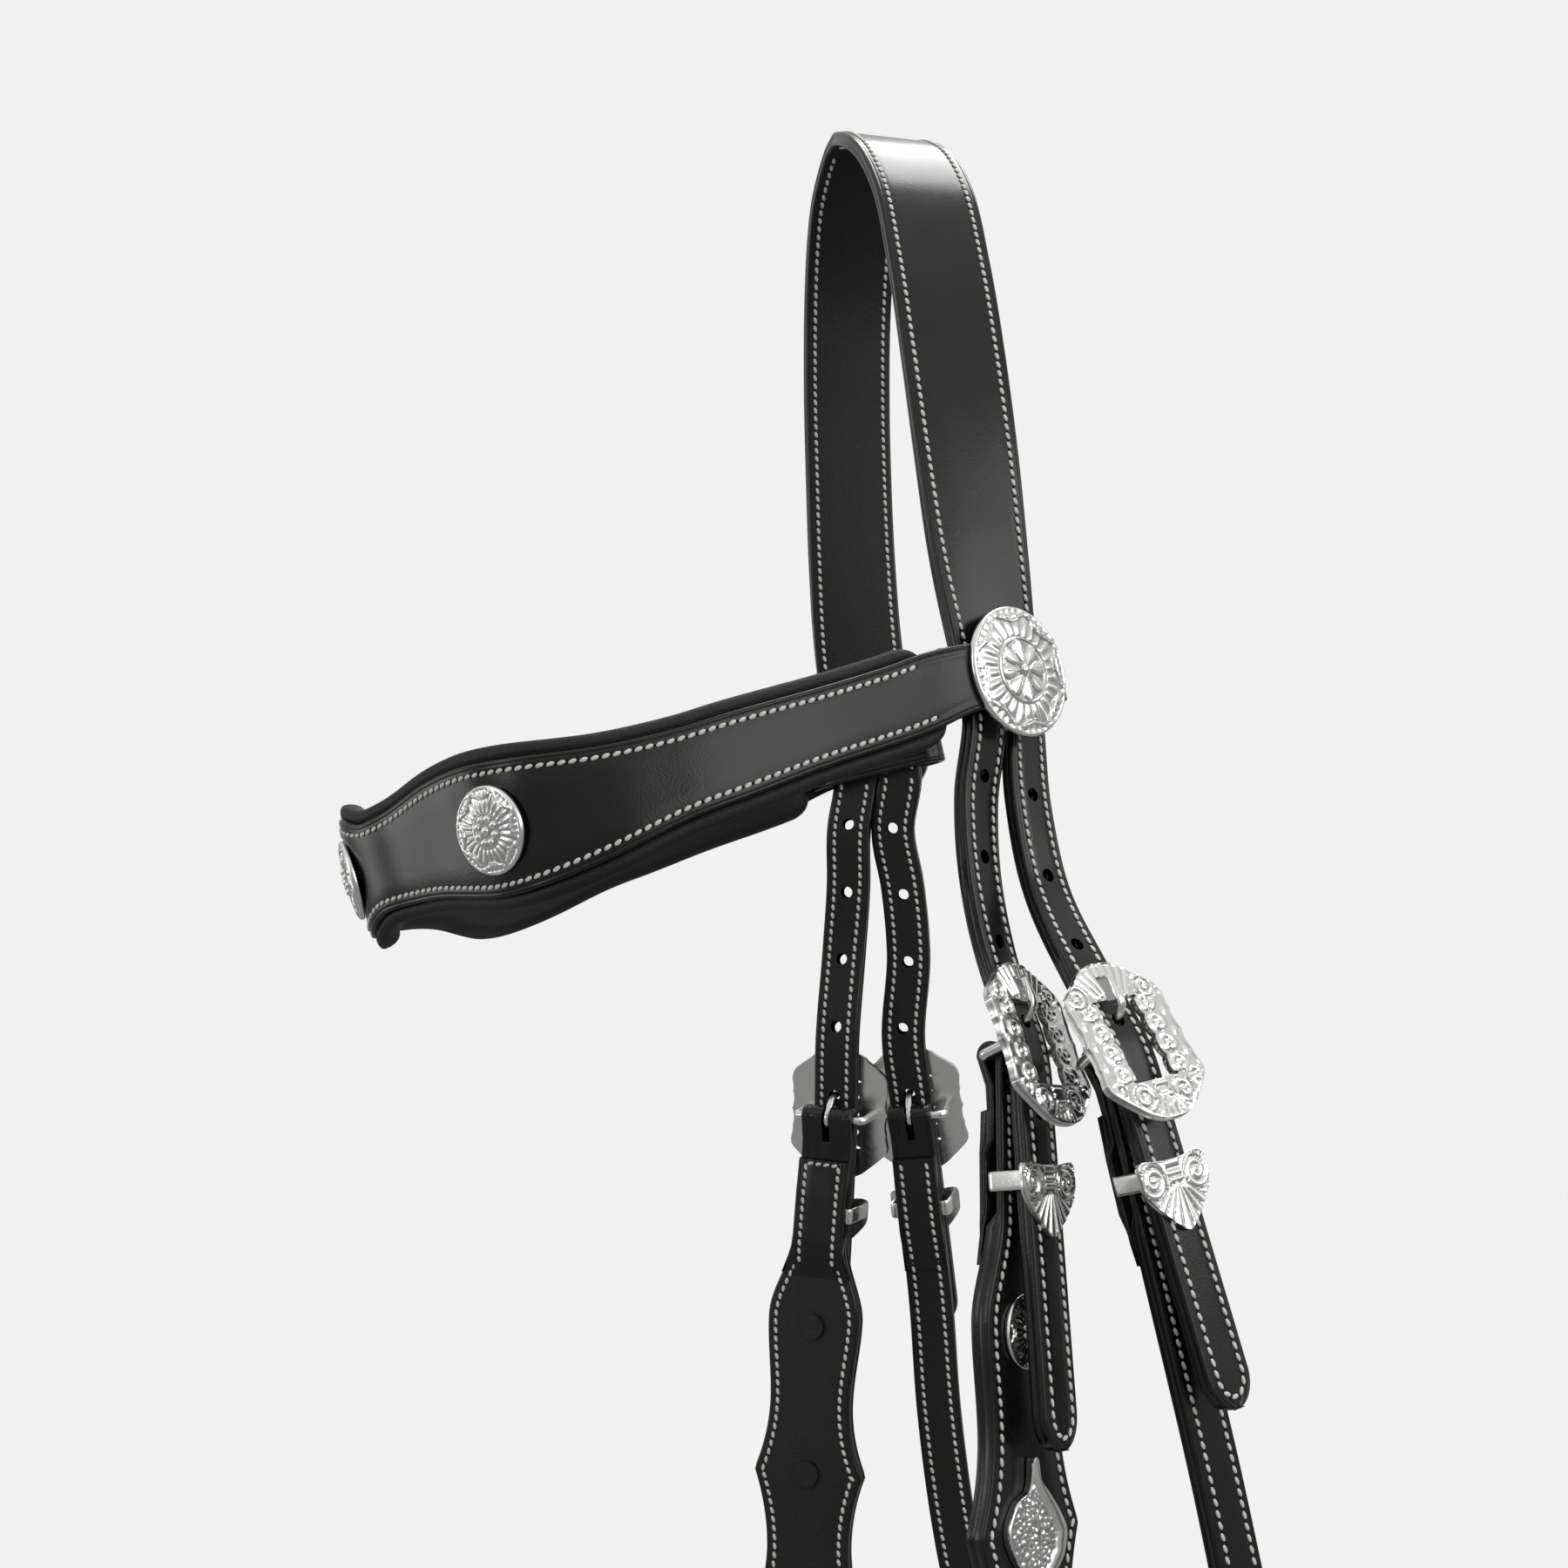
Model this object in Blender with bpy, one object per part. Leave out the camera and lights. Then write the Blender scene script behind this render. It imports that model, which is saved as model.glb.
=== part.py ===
"""Horse bridle: a show headstall with a wavy padded browband and silver fittings.

Metres, +Z up. The horse faces -Y and its left side is +X. The origin is the middle of the flat
under the crown strap, where the strap rests on the poll. Every strap is drawn along a course: a
smooth line with the direction across the strap at each place. Places along a strap are written as
shares of three sizes: HALF_SPREAD sideways, FORE_AFT_SPREAD towards the tail and DROP downwards.
"""
import math

import bmesh
import bpy
from mathutils import Matrix, Vector

# Overall
HALF_SPREAD = 0.100
FORE_AFT_SPREAD = 0.100
DROP = 0.400
FIT_GAP = 0.0003
OVERRUN = 0.004

# Headpiece
CROWN_WIDTH = 0.033
SLIT_WIDTH = 0.001
STRAP_THICKNESS = 0.0048
BILLET_WIDTH = (CROWN_WIDTH - SLIT_WIDTH) / 2
BILLET_LENGTH = 0.208
BILLET_TIP = 0.009
POLL_FLAT = 0.008
ROW_STEP = 0.010
HOLE_PITCH = 0.025
HOLE_RADIUS = 0.0021
HOLE_COUNT = 5

# Buckles: a frame with a bar on two legs, and a tongue
BAR_RADIUS = 0.0015
LOOP_LEATHER = 0.0026
FRAME_WIDTH = 0.0375
FRAME_HEIGHT = 0.0483
FRAME_THICKNESS = 0.003
OPENING_WIDTH = BILLET_WIDTH + 0.0015
OPENING_HEIGHT = 0.025
LEG_INSET = 0.004
TONGUE_RADIUS = 0.0011
TONGUE_RISE = 0.0072
TONGUE_REACH = 0.0062
TONGUE_TIP_RADIUS = 0.0008

# Keepers: a pointed plate and a band round the billet and the front layer of the strap below it
KEEPER_DROP = 0.034
PLATE_WIDTH = 0.026
PLATE_HEIGHT = 0.020
PLATE_THICKNESS = 0.0018
BAND_HEIGHT = 0.0053
BAND_THICKNESS = 0.0013
KEEPER_SLACK = 0.0005
KEEPER_TRAVEL = 0.005

# Cheekpieces
CHEEK_LOOP_WIDTH = 0.019
CHEEK_THICKNESS = 0.006
CHEEK_BULGE = 0.0345
CHEEK_POINT = 0.0405
CHEEK_WAIST = 0.030
CHEEK_LENGTH = 0.225
TAIL_LENGTH = 0.048
BIT_TAIL_LENGTH = 0.043
BIT_LOOP_RADIUS = 0.0075
LINING_SKIVE = 0.008
STUD_ROW = 0.1015
ROUND_STUD_RADIUS = 0.010
LEAF_WIDTH = 0.024
LEAF_HEIGHT = 0.036
STUD_THICKNESS = 0.0028

# Throatlash
THROAT_WIDTH = BILLET_WIDTH
THROAT_THICKNESS = 0.0048

# Browband
BROW_REACH = 0.1935
BROW_HALF_SPAN = 0.0875
BROW_PITCH = 17.6
BROW_LOOP_HEIGHT = 0.020
BROW_BULGE = 0.038
FACE_THICKNESS = 0.0026
LOOP_SLACK = 0.0016
PAD_PROUD = 0.004
PAD_DEPTH = 0.007
LINING_WALL = 0.0011
PAD_SHORT = 0.013
BROW_STUD_RADIUS = 0.0125
BROW_STUD_THICKNESS = 0.0035
ROSETTE_RADIUS = 0.020
ROSETTE_THICKNESS = 0.0042
LIFT_RANGE = 8

# Screws behind the ornaments
POST_RADIUS = 0.0020
SCREW_HEAD_RADIUS = 0.0045
SCREW_HEAD_THICKNESS = 0.0008
SCREW_SEAT = 0.0009
BIT_SCREW_RADIUS = 0.0050
BIT_SCREW_SETBACK = 0.0173

LEFT = 1
RIGHT = -1

# Sideways, backwards and downwards shares, with the compass angle of the outer face in degrees
crown_shares = [
    (0.112, -0.003, 0.0080, 89),
    (0.213, -0.003, 0.0230, 88),
    (0.319, 0.008, 0.0455, 87),
    (0.437, 0.027, 0.0880, 87),
    (0.538, 0.049, 0.1670, 87),
    (0.597, 0.071, 0.2490, 87),
    (0.637, 0.094, 0.3310, 91),
    (0.656, 0.123, 0.4140, 100),
    (0.656, 0.151, 0.4650, 109),
    (0.650, 0.178, 0.5050, 116),
    (0.650, 0.192, 0.5300, 118),
]
LOOP_ROW = 9
billet_shares = {
    ("front", LEFT): [(0.700, 0.084, 0.600, 122), (0.735, 0.078, 0.655, 125)],
    ("rear", LEFT): [(0.660, 0.262, 0.600, 115), (0.690, 0.295, 0.660, 112)],
    ("front", RIGHT): [(0.690, 0.090, 0.580, 117), (0.720, 0.096, 0.630, 119), (0.755, 0.088, 0.690, 124)],
    ("rear", RIGHT): [(0.655, 0.250, 0.580, 115), (0.680, 0.293, 0.630, 114), (0.715, 0.325, 0.690, 116)],
}
# The bar's place, the angle of the outer face, how far the strap below runs outwards and
# backwards for each unit down, and the tilt of the buckle, its foot outwards
bar_shares = {
    ("front", LEFT): (0.790, 0.130, 0.787, 126, 0.06, -0.03, 21),
    ("rear", LEFT): (0.880, 0.406, 0.787, 110, 0.07, 0.20, 21),
    ("front", RIGHT): (0.735, 0.022, 0.8425, 126, 0.05, -0.07, 10),
    ("rear", RIGHT): (0.785, 0.346, 0.8425, 118, 0.05, 0.12, 10),
}
buckled_hole = {LEFT: 3, RIGHT: 4}
# Where the lower cheekpiece and the throatlash hang
cheek_shares = {
    LEFT: [(0.882, 0.104, 1.100, 119), (0.905, 0.098, 1.220, 117), (0.915, 0.095, 1.340, 114)],
    RIGHT: [(0.780, -0.043, 1.110, 126), (0.795, -0.046, 1.230, 122), (0.800, -0.046, 1.390, 114)],
}
throat_shares = {
    LEFT: [(0.950, 0.650, 1.090, 110), (0.950, 0.735, 1.210, 108), (0.880, 0.815, 1.370, 106)],
    RIGHT: [(0.835, 0.460, 1.110, 114), (0.850, 0.540, 1.240, 112), (0.800, 0.690, 1.390, 108)],
}
throat_bottom_shares = [(0.560, 0.870, 1.490, 100), (0.000, 0.890, 1.545, 90), (-0.520, 0.830, 1.500, 100)]
# The browband in its own sloping plane: sideways and forwards shares, and how far it sags from the plane
browband_shares = [
    (0.000, 1.000, 0.000), (0.090, 0.998, 0.000), (0.190, 0.980, 0.000), (0.330, 0.937, 0.000), (0.550, 0.880, -0.001),
    (0.690, 0.844, -0.009), (0.800, 0.811, -0.018), (0.900, 0.766, -0.025), (0.970, 0.687, -0.029),
    (1.000, 0.558, -0.023), (0.993, 0.388, -0.014), (0.950, 0.207, -0.006),
]
SIDE_STUD = 6
browband_height_shares = [(0.0, 1.0), (0.09, 0.42), (0.34, 0.97), (0.63, 0.24), (0.80, 0.12), (0.92, 0.12), (1.0, 0.0)]
# Where the three cheek ornaments sit, as shares of the cheekpiece's length
stud_shares = (0.3266, 0.5510, 0.7665)
# A domed ornament's edge, shoulder and crown: shares of its radius and of its thickness
dome_shares = [(1.0, 0.3), (0.88, 0.7), (0.4, 1.0)]
# How the tongue wraps the bar, in degrees, and where it leaves it: shares of its rise and its ring
tongue_wrap = (0, -45, -90, -135, -180, -225, -250)
tongue_leave_shares = (0.80, 0.62)
# Where the browband's loop turns and ends: shares of its reach, its bend and its back
loop_end_shares = (0.8, 1.3, 0.35)
PAD_END_SHARE = 0.55
cheek_width_shares = [
    (0.0, "loop"), (0.19, "loop"), (0.315, "bulge"), (0.444, "waist"), (0.551, "point"),
    (0.667, "waist"), (0.764, "bulge"), (0.880, "loop"), (1.0, "loop"),
]

# Sizes that follow from those above
LOOP_INNER = BAR_RADIUS + FIT_GAP
LOOP_OUTER = LOOP_INNER + LOOP_LEATHER
BILLET_RIDE = LOOP_OUTER + FIT_GAP + STRAP_THICKNESS / 2
BAR_SETBACK = BILLET_RIDE + STRAP_THICKNESS / 2 + FIT_GAP
CHEEK_BACK = LOOP_OUTER - CHEEK_THICKNESS
FRONT_LAYER_BACK = LOOP_INNER
BILLET_LEAN = math.atan2(STUD_THICKNESS, STUD_ROW / 2 - ROUND_STUD_RADIUS)
KEEPER_REACH = KEEPER_TRAVEL + BAND_HEIGHT / 2
KEEPER_SWAY = KEEPER_REACH * math.sin(BILLET_LEAN)
TAIL_FRONT = FRONT_LAYER_BACK - 2 * KEEPER_SWAY - BAND_THICKNESS - 2 * FIT_GAP
THIN_END = KEEPER_DROP + KEEPER_REACH + FIT_GAP
FULL_START = THIN_END + LINING_SKIVE / 2


def finish(name, colour, roughness, metallic):
    """A plain material in the colour of the real piece."""
    material = bpy.data.materials.new(name)
    material.use_nodes = True
    shader = material.node_tree.nodes["Principled BSDF"]
    shader.inputs["Base Color"].default_value = (*colour, 1.0)
    shader.inputs["Roughness"].default_value = roughness
    shader.inputs["Metallic"].default_value = metallic
    return material


def black_leather(name):
    return finish(name, (0.012, 0.012, 0.013), 0.3, 0.0)


def lining_leather(name):
    return finish(name, (0.010, 0.010, 0.011), 0.7, 0.0)


def foam(name):
    return finish(name, (0.15, 0.15, 0.15), 0.9, 0.0)


def silver(name):
    return finish(name, (0.75, 0.75, 0.76), 0.25, 1.0)


def add_piece(name, shape, look, origin=None, smooth=False):
    """Turn a closed bmesh into a named object whose origin is at the given place."""
    bmesh.ops.recalc_face_normals(shape, faces=shape.faces)
    mesh = bpy.data.meshes.new(name)
    shape.to_mesh(mesh)
    shape.free()
    piece = bpy.data.objects.new(name, mesh)
    if origin is not None:
        mesh.transform(Matrix.Translation(-origin))
        piece.location = origin
    if smooth:
        mesh.shade_smooth()
        mesh.set_sharp_from_angle(angle=math.radians(35))
    bpy.context.scene.collection.objects.link(piece)
    if look is not None:
        mesh.materials.append(look(name))
    return piece


def cut(piece, name, shape, operation="DIFFERENCE"):
    """Cut or join a hidden shape with a piece."""
    tool = add_piece(name, shape, None)
    tool.hide_render = True
    tool.display_type = "WIRE"
    step = piece.modifiers.new(name, "BOOLEAN")
    step.operation = operation
    step.solver = "EXACT"
    step.object = tool


class Station:
    """A place on a course: its point and the directions along, across and out of the strap."""

    def __init__(self, point, along, across, side):
        self.point = point
        self.along = along.normalized()
        self.across = (across - self.along * across.dot(self.along)).normalized()
        self.outward = side * self.along.cross(self.across)

    def offset(self, across, outward=0.0, down=0.0):
        return self.point + self.across * across + self.outward * outward + self.along * down


class Course:
    """A smooth line through points, with the direction across the strap at each of them."""

    SAMPLES = 12

    def __init__(self, knots, side):
        self.side = side
        points = [knot[0] for knot in knots]
        acrosses = [knot[1] for knot in knots]
        steps = [(after - before).length for before, after in zip(points, points[1:])]
        slopes = [self.slope(points, steps, index) for index in range(len(points))]
        turns = [self.slope(acrosses, steps, index) for index in range(len(points))]
        self.samples = []
        for index, step in enumerate(steps):
            last = index == len(steps) - 1
            for count in range(self.SAMPLES + int(last)):
                share = count / self.SAMPLES
                point = self.blend(points, slopes, step, index, share)
                across = self.blend(acrosses, turns, step, index, share)
                self.samples.append((point, across))
        self.distances = [0.0]
        for before, after in zip(self.samples, self.samples[1:]):
            self.distances.append(self.distances[-1] + (after[0] - before[0]).length)
        self.length = self.distances[-1]

    @staticmethod
    def slope(values, steps, index):
        if index == 0:
            return (values[1] - values[0]) / steps[0]
        if index == len(steps):
            return (values[-1] - values[-2]) / steps[-1]
        before = (values[index] - values[index - 1]) / steps[index - 1]
        after = (values[index + 1] - values[index]) / steps[index]
        return (before * steps[index] + after * steps[index - 1]) / (steps[index - 1] + steps[index])

    @staticmethod
    def blend(values, slopes, step, index, share):
        square = share * share
        cube = square * share
        return (
            values[index] * (2 * cube - 3 * square + 1)
            + slopes[index] * step * (cube - 2 * square + share)
            + values[index + 1] * (3 * square - 2 * cube)
            + slopes[index + 1] * step * (cube - square)
        )

    def at(self, distance):
        index = 1
        while index < len(self.distances) - 1 and self.distances[index] < distance:
            index += 1
        before, after = self.samples[index - 1], self.samples[index]
        span = self.distances[index] - self.distances[index - 1]
        share = (distance - self.distances[index - 1]) / span
        point = before[0].lerp(after[0], share)
        across = before[1].lerp(after[1], share)
        return Station(point, after[0] - before[0], across, self.side)

    def nearest(self, place):
        """The distance along the course of the sample nearest to a place."""
        pairs = zip(self.samples, self.distances)
        return min(pairs, key=lambda pair: (pair[0][0] - place).length)[1]


def spread(start, end, step):
    """Even distances from start to end, no more than a step apart."""
    count = max(1, math.ceil((end - start) / step - 1e-6))
    return [start + (end - start) * index / count for index in range(count + 1)]


def knot(shares, side):
    """A course knot from its shares and the angle of the outer face."""
    sideways, back, down, angle = shares
    point = Vector((side * sideways * HALF_SPREAD, back * FORE_AFT_SPREAD, STRAP_THICKNESS / 2 - down * DROP))
    turn = math.radians(angle)
    return point, Vector((side * math.cos(turn), math.sin(turn), 0.0))


def loft(rings):
    """A closed body through rings of points, one ring after another."""
    shape = bmesh.new()
    loops = [[shape.verts.new(point) for point in ring] for ring in rings]
    for before, after in zip(loops, loops[1:]):
        for index in range(len(before)):
            following = (index + 1) % len(before)
            shape.faces.new((before[index], before[following], after[following], after[index]))
    shape.faces.new(loops[0])
    shape.faces.new(list(reversed(loops[-1])))
    return shape


def flat_ring(station, half_width, outer, inner):
    """A strap's rectangular section between two heights over its course."""
    return [
        station.offset(-half_width, outer),
        station.offset(half_width, outer),
        station.offset(half_width, inner),
        station.offset(-half_width, inner),
    ]


class Seat:
    """A fitting's own frame on a strap: across, up and out, and its matrix."""

    def __init__(self, point, across, up, side):
        self.point = point
        self.up = up.normalized()
        self.across = (across - self.up * across.dot(self.up)).normalized()
        self.out = side * self.across.cross(self.up)
        self.side = side

    def tilted(self, angle):
        """The same seat turned about its bar, its foot outwards."""
        up = self.up * math.cos(angle) - self.out * math.sin(angle)
        return Seat(self.point, self.across, up, self.side)

    def place(self, across, up, out):
        return self.point + self.across * across + self.up * up + self.out * out

    def matrix(self):
        rows = Matrix((self.side * self.across, self.up, self.out)).transposed()
        return Matrix.Translation(self.point) @ rows.to_4x4()


def bar_seat(where, side):
    sideways, back, down, angle, outwards, backwards, _ = bar_shares[where, side]
    point, across = knot((sideways, back, down, angle), side)
    return Seat(point, across, Vector((-side * outwards, -backwards, 1.0)), side)


def buckle_seat(where, side):
    return bar_seat(where, side).tilted(math.radians(bar_shares[where, side][6]))


def keeper_seat(where, side):
    seat = bar_seat(where, side).tilted(BILLET_LEAN)
    return Seat(seat.place(0, -KEEPER_DROP, 0), seat.across, seat.up, side)


def disc(sides, profile):
    """A turned body from a list of radius and height, closed at both ends."""
    rings = []
    for radius, height in profile:
        turns = [2 * math.pi * index / sides for index in range(sides)]
        rings.append([Vector((radius * math.cos(a), radius * math.sin(a), height)) for a in turns])
    return loft(rings)


def box(half_x, low_y, high_y, low_z, high_z):
    corners = [(-half_x, low_y), (half_x, low_y), (half_x, high_y), (-half_x, high_y)]
    return loft([[Vector((x, y, z)) for x, y in corners] for z in (low_z, high_z)])


def plate(outline, low, high):
    return loft([[Vector((x, y, z)) for x, y in outline] for z in (low, high)])


def bent_rod(points, radii, sides):
    """A rod along points in the YZ plane, its section square to the way it runs."""
    rings = []
    for index, point in enumerate(points):
        before = points[max(index - 1, 0)]
        after = points[min(index + 1, len(points) - 1)]
        way = (after - before).normalized()
        side_way = Vector((0.0, -way.z, way.y))
        ring = []
        for count in range(sides):
            turn = 2 * math.pi * (count + 0.5) / sides
            reach = Vector((1, 0, 0)) * math.cos(turn) + side_way * math.sin(turn)
            ring.append(point + reach * radii[index])
        rings.append(ring)
    return loft(rings)


def moved(shape, matrix):
    bmesh.ops.transform(shape, matrix=matrix, verts=shape.verts)
    return shape


def crown_course(side):
    start = Vector((side * POLL_FLAT / 2, 0.0, STRAP_THICKNESS / 2))
    before = start - Vector((side * POLL_FLAT, 0.0, 0.0))
    level = Vector((0.0, 1.0, 0.0))
    knots = [(before, level), (start, level)] + [knot(shares, side) for shares in crown_shares]
    return Course(knots, side)


def billet_course(where, side, crown):
    """From the slit through the buckle and the keeper to past the billet's tip."""
    shift = (BILLET_WIDTH + SLIT_WIDTH) / 2 * (-1 if where == "front" else 1)
    knots = []
    for distance in (crown.length - CROWN_WIDTH / 2, crown.length):
        station = crown.at(distance)
        knots.append((station.offset(shift), station.across))
    slit = knots[-1][0]
    knots += [knot(shares, side) for shares in billet_shares[where, side]]
    upper = buckle_seat(where, side)
    lower = bar_seat(where, side).tilted(BILLET_LEAN)
    for up in (FRAME_HEIGHT / 2, OPENING_HEIGHT / 2, LOOP_INNER):
        knots.append((upper.place(0, up, BILLET_RIDE), upper.across))
    for down in (LOOP_INNER, KEEPER_DROP / 2, KEEPER_DROP, 2 * KEEPER_DROP, BILLET_LENGTH / 2):
        knots.append((lower.place(0, -down, BILLET_RIDE), lower.across))
    course = Course(knots, side)
    return course, course.nearest(slit)


def billet_rows(where, side, crown):
    """Distances and half widths of a billet, with its round tip, and the places of its holes."""
    course, start = billet_course(where, side, crown)
    end = start + BILLET_LENGTH
    bar = course.nearest(buckle_seat(where, side).place(0, 0, BILLET_RIDE))
    bend = (bar - ROW_STEP, bar + ROW_STEP)
    distances = spread(start, bend[0], ROW_STEP)[1:] + spread(*bend, ROW_STEP / 4)[1:]
    distances += spread(bend[1], end - BILLET_TIP, ROW_STEP)[1:]
    rows = [(distance, BILLET_WIDTH / 2) for distance in distances]
    for angle in (25, 50, 70, 84):
        turn = math.radians(angle)
        rows.append((end - BILLET_TIP * (1 - math.sin(turn)), BILLET_WIDTH / 2 * math.cos(turn)))
    buckled = course.nearest(buckle_seat(where, side).place(0, TONGUE_RISE, BILLET_RIDE))
    first = buckled - buckled_hole[side] * HOLE_PITCH
    holes = [course.at(first + index * HOLE_PITCH) for index in range(HOLE_COUNT)]
    return [(course.at(distance), half) for distance, half in rows], holes


def headpiece():
    """The crown strap and its four billets, one solid, with the billets' holes cut out."""
    shape = bmesh.new()
    half = STRAP_THICKNESS / 2
    sideways = Vector((1.0, 0.0, 0.0))
    holes = bmesh.new()
    crown_rows = {}
    crowns = {}
    for side in (LEFT, RIGHT):
        crown = crown_course(side)
        start = Vector((side * POLL_FLAT / 2, 0.0, half))
        stations = [Station(start, side * sideways, Vector((0.0, 1.0, 0.0)), side)]
        begin = crown.nearest(start)
        stations += [crown.at(distance) for distance in spread(begin, crown.length, ROW_STEP)[1:]]
        rows = []
        for station in stations:
            columns = (-CROWN_WIDTH / 2, 0.0, CROWN_WIDTH / 2)
            rows.append([[shape.verts.new(station.offset(x, out)) for x in columns] for out in (half, -half)])
        crown_rows[side] = rows
        crowns[side] = crown
    rows = list(reversed(crown_rows[RIGHT])) + crown_rows[LEFT]
    for before, after in zip(rows, rows[1:]):
        for layer in (0, 1):
            for column in (0, 1):
                shape.faces.new((before[layer][column], before[layer][column + 1],
                                 after[layer][column + 1], after[layer][column]))
        for column in (0, 2):
            shape.faces.new((before[0][column], after[0][column], after[1][column], before[1][column]))
    for side in (LEFT, RIGHT):
        last = crown_rows[side][-1]
        for where, columns in (("front", (0, 1)), ("rear", (1, 2))):
            billet, punched = billet_rows(where, side, crowns[side])
            previous = [[last[layer][column] for column in columns] for layer in (0, 1)]
            for station, half_width in billet:
                row = [[shape.verts.new(station.offset(x, out)) for x in (-half_width, half_width)]
                       for out in (half, -half)]
                for layer in (0, 1):
                    shape.faces.new((previous[layer][0], previous[layer][1], row[layer][1], row[layer][0]))
                for column in (0, 1):
                    shape.faces.new((previous[0][column], row[0][column], row[1][column], previous[1][column]))
                previous = row
            shape.faces.new((previous[0][0], previous[0][1], previous[1][1], previous[1][0]))
            for station in punched:
                seat = Seat(station.point, station.across, -station.along, side)
                punch = disc(8, [(HOLE_RADIUS, -STRAP_THICKNESS), (HOLE_RADIUS, STRAP_THICKNESS)])
                moved(punch, seat.matrix())
                bmesh.ops.recalc_face_normals(punch, faces=punch.faces)
                mesh = bpy.data.meshes.new("punch")
                punch.to_mesh(mesh)
                punch.free()
                holes.from_mesh(mesh)
                bpy.data.meshes.remove(mesh)
    piece = add_piece("headpiece", shape, black_leather)
    cut(piece, "billet_punch", holes)


def buckle_outline():
    """The frame's outline and its opening, sixteen points each, in the same order."""
    outer_shares = [
        (0.0, 1.0), (0.42, 0.94), (0.78, 0.70), (1.0, 0.50), (0.98, 0.0), (1.0, -0.52),
        (0.72, -0.76), (0.34, -0.97), (0.0, -1.0),
    ]
    inner_shares = [
        (0.0, 1.0), (0.45, 1.0), (0.88, 1.0), (1.0, 0.85), (1.0, 0.0), (1.0, -0.85),
        (0.88, -1.0), (0.45, -1.0), (0.0, -1.0),
    ]
    outlines = []
    for shares, width, height in (
        (outer_shares, FRAME_WIDTH, FRAME_HEIGHT), (inner_shares, OPENING_WIDTH, OPENING_HEIGHT)
    ):
        half = [(x * width / 2, y * height / 2) for x, y in shares]
        outlines.append(half + [(-x, y) for x, y in reversed(half[1:-1])])
    return outlines


def buckle_frame(name, seat):
    """The flat frame, with a staple behind it whose middle is the bar."""
    outer, inner = buckle_outline()
    low, high = BAR_SETBACK, BAR_SETBACK + FRAME_THICKNESS
    shape = bmesh.new()
    loops = []
    for outline, height in ((outer, low), (outer, high), (inner, high), (inner, low)):
        loops.append([shape.verts.new((x, y, height)) for x, y in outline])
    for before, after in zip(loops, loops[1:] + loops[:1]):
        for index in range(len(before)):
            following = (index + 1) % len(before)
            shape.faces.new((before[index], before[following], after[following], after[index]))
    frame = add_piece(name, moved(shape, seat.matrix()), silver, seat.point)
    reach = OPENING_WIDTH / 2 + LEG_INSET
    corner = BAR_RADIUS
    foot = BAR_SETBACK + FRAME_THICKNESS / 2
    route = [(-reach, foot), (-reach, corner), (-reach + corner, 0), (reach - corner, 0), (reach, corner),
             (reach, foot)]
    rings = []
    for index, (x, z) in enumerate(route):
        before = Vector(route[max(index - 1, 0)])
        after = Vector(route[min(index + 1, len(route) - 1)])
        way = (after - before).normalized()
        turns = [2 * math.pi * (count + 0.5) / 8 for count in range(8)]
        rings.append([
            Vector((x, 0, z)) + Vector((-way.y, 0, way.x)) * BAR_RADIUS * math.cos(turn)
            + Vector((0, 1, 0)) * BAR_RADIUS * math.sin(turn) for turn in turns
        ])
    cut(frame, name + "_staple", moved(loft(rings), seat.matrix()), "UNION")


def tongue_line():
    """The tongue's middle line in the bar's YZ plane: round the bar, through the hole, over the rail."""
    ring = BAR_RADIUS + FIT_GAP + TONGUE_RADIUS
    rest = BAR_SETBACK + FRAME_THICKNESS + FIT_GAP + TONGUE_RADIUS
    rail = OPENING_HEIGHT / 2
    rise_share, ring_share = tongue_leave_shares
    turns = [math.radians(angle) for angle in tongue_wrap]
    places = [(ring * math.sin(turn), ring * math.cos(turn)) for turn in turns]
    places += [
        (TONGUE_RISE * rise_share, ring * ring_share),
        (TONGUE_RISE, LOOP_OUTER + FIT_GAP),
        (TONGUE_RISE + FIT_GAP, BAR_SETBACK),
        ((TONGUE_RISE + rail) / 2, rest - FIT_GAP),
        (rail + TONGUE_RADIUS, rest),
        (rail + TONGUE_REACH, rest),
    ]
    return [Vector((0, up, out)) for up, out in places]


def tongue(name, seat):
    line = tongue_line()
    radii = [TONGUE_RADIUS] * (len(line) - 1) + [TONGUE_TIP_RADIUS]
    add_piece(name, moved(bent_rod(line, radii, 8), seat.matrix()), silver, seat.point, True)


def keeper(name, seat):
    """The pointed plate over the billet, and the band that runs behind the strap's front layer."""
    half = PLATE_WIDTH / 2
    top_shares = [(-0.96, 0.24), (-0.4, 0.19), (0.4, 0.19), (0.96, 0.24)]
    low_shares = [(1.0, -0.22), (0.56, -0.52), (0.2, -0.72), (0.0, -0.76)]
    outline = [(x * half, y * PLATE_HEIGHT) for x, y in top_shares + low_shares]
    outline += [(-x * half, y * PLATE_HEIGHT) for x, y in reversed(low_shares[:-1])]
    low = BAR_SETBACK
    shape = plate(outline, low, low + PLATE_THICKNESS)
    piece = add_piece(name, moved(shape, seat.matrix()), silver, seat.point)
    inner = CHEEK_LOOP_WIDTH / 2 + KEEPER_SLACK
    back = FRONT_LAYER_BACK - KEEPER_DROP * math.sin(BILLET_LEAN) - KEEPER_SWAY - FIT_GAP
    top = low + PLATE_THICKNESS / 2
    outer = inner + BAND_THICKNESS
    section = [
        (-outer, top), (-outer, back), (-inner, back - BAND_THICKNESS), (inner, back - BAND_THICKNESS),
        (outer, back), (outer, top), (inner, top), (inner, back), (-inner, back), (-inner, top),
    ]
    band = loft([[Vector((x, y, z)) for x, z in section] for y in (-BAND_HEIGHT / 2, BAND_HEIGHT / 2)])
    cut(piece, name + "_band", moved(band, seat.matrix()), "UNION")


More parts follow.
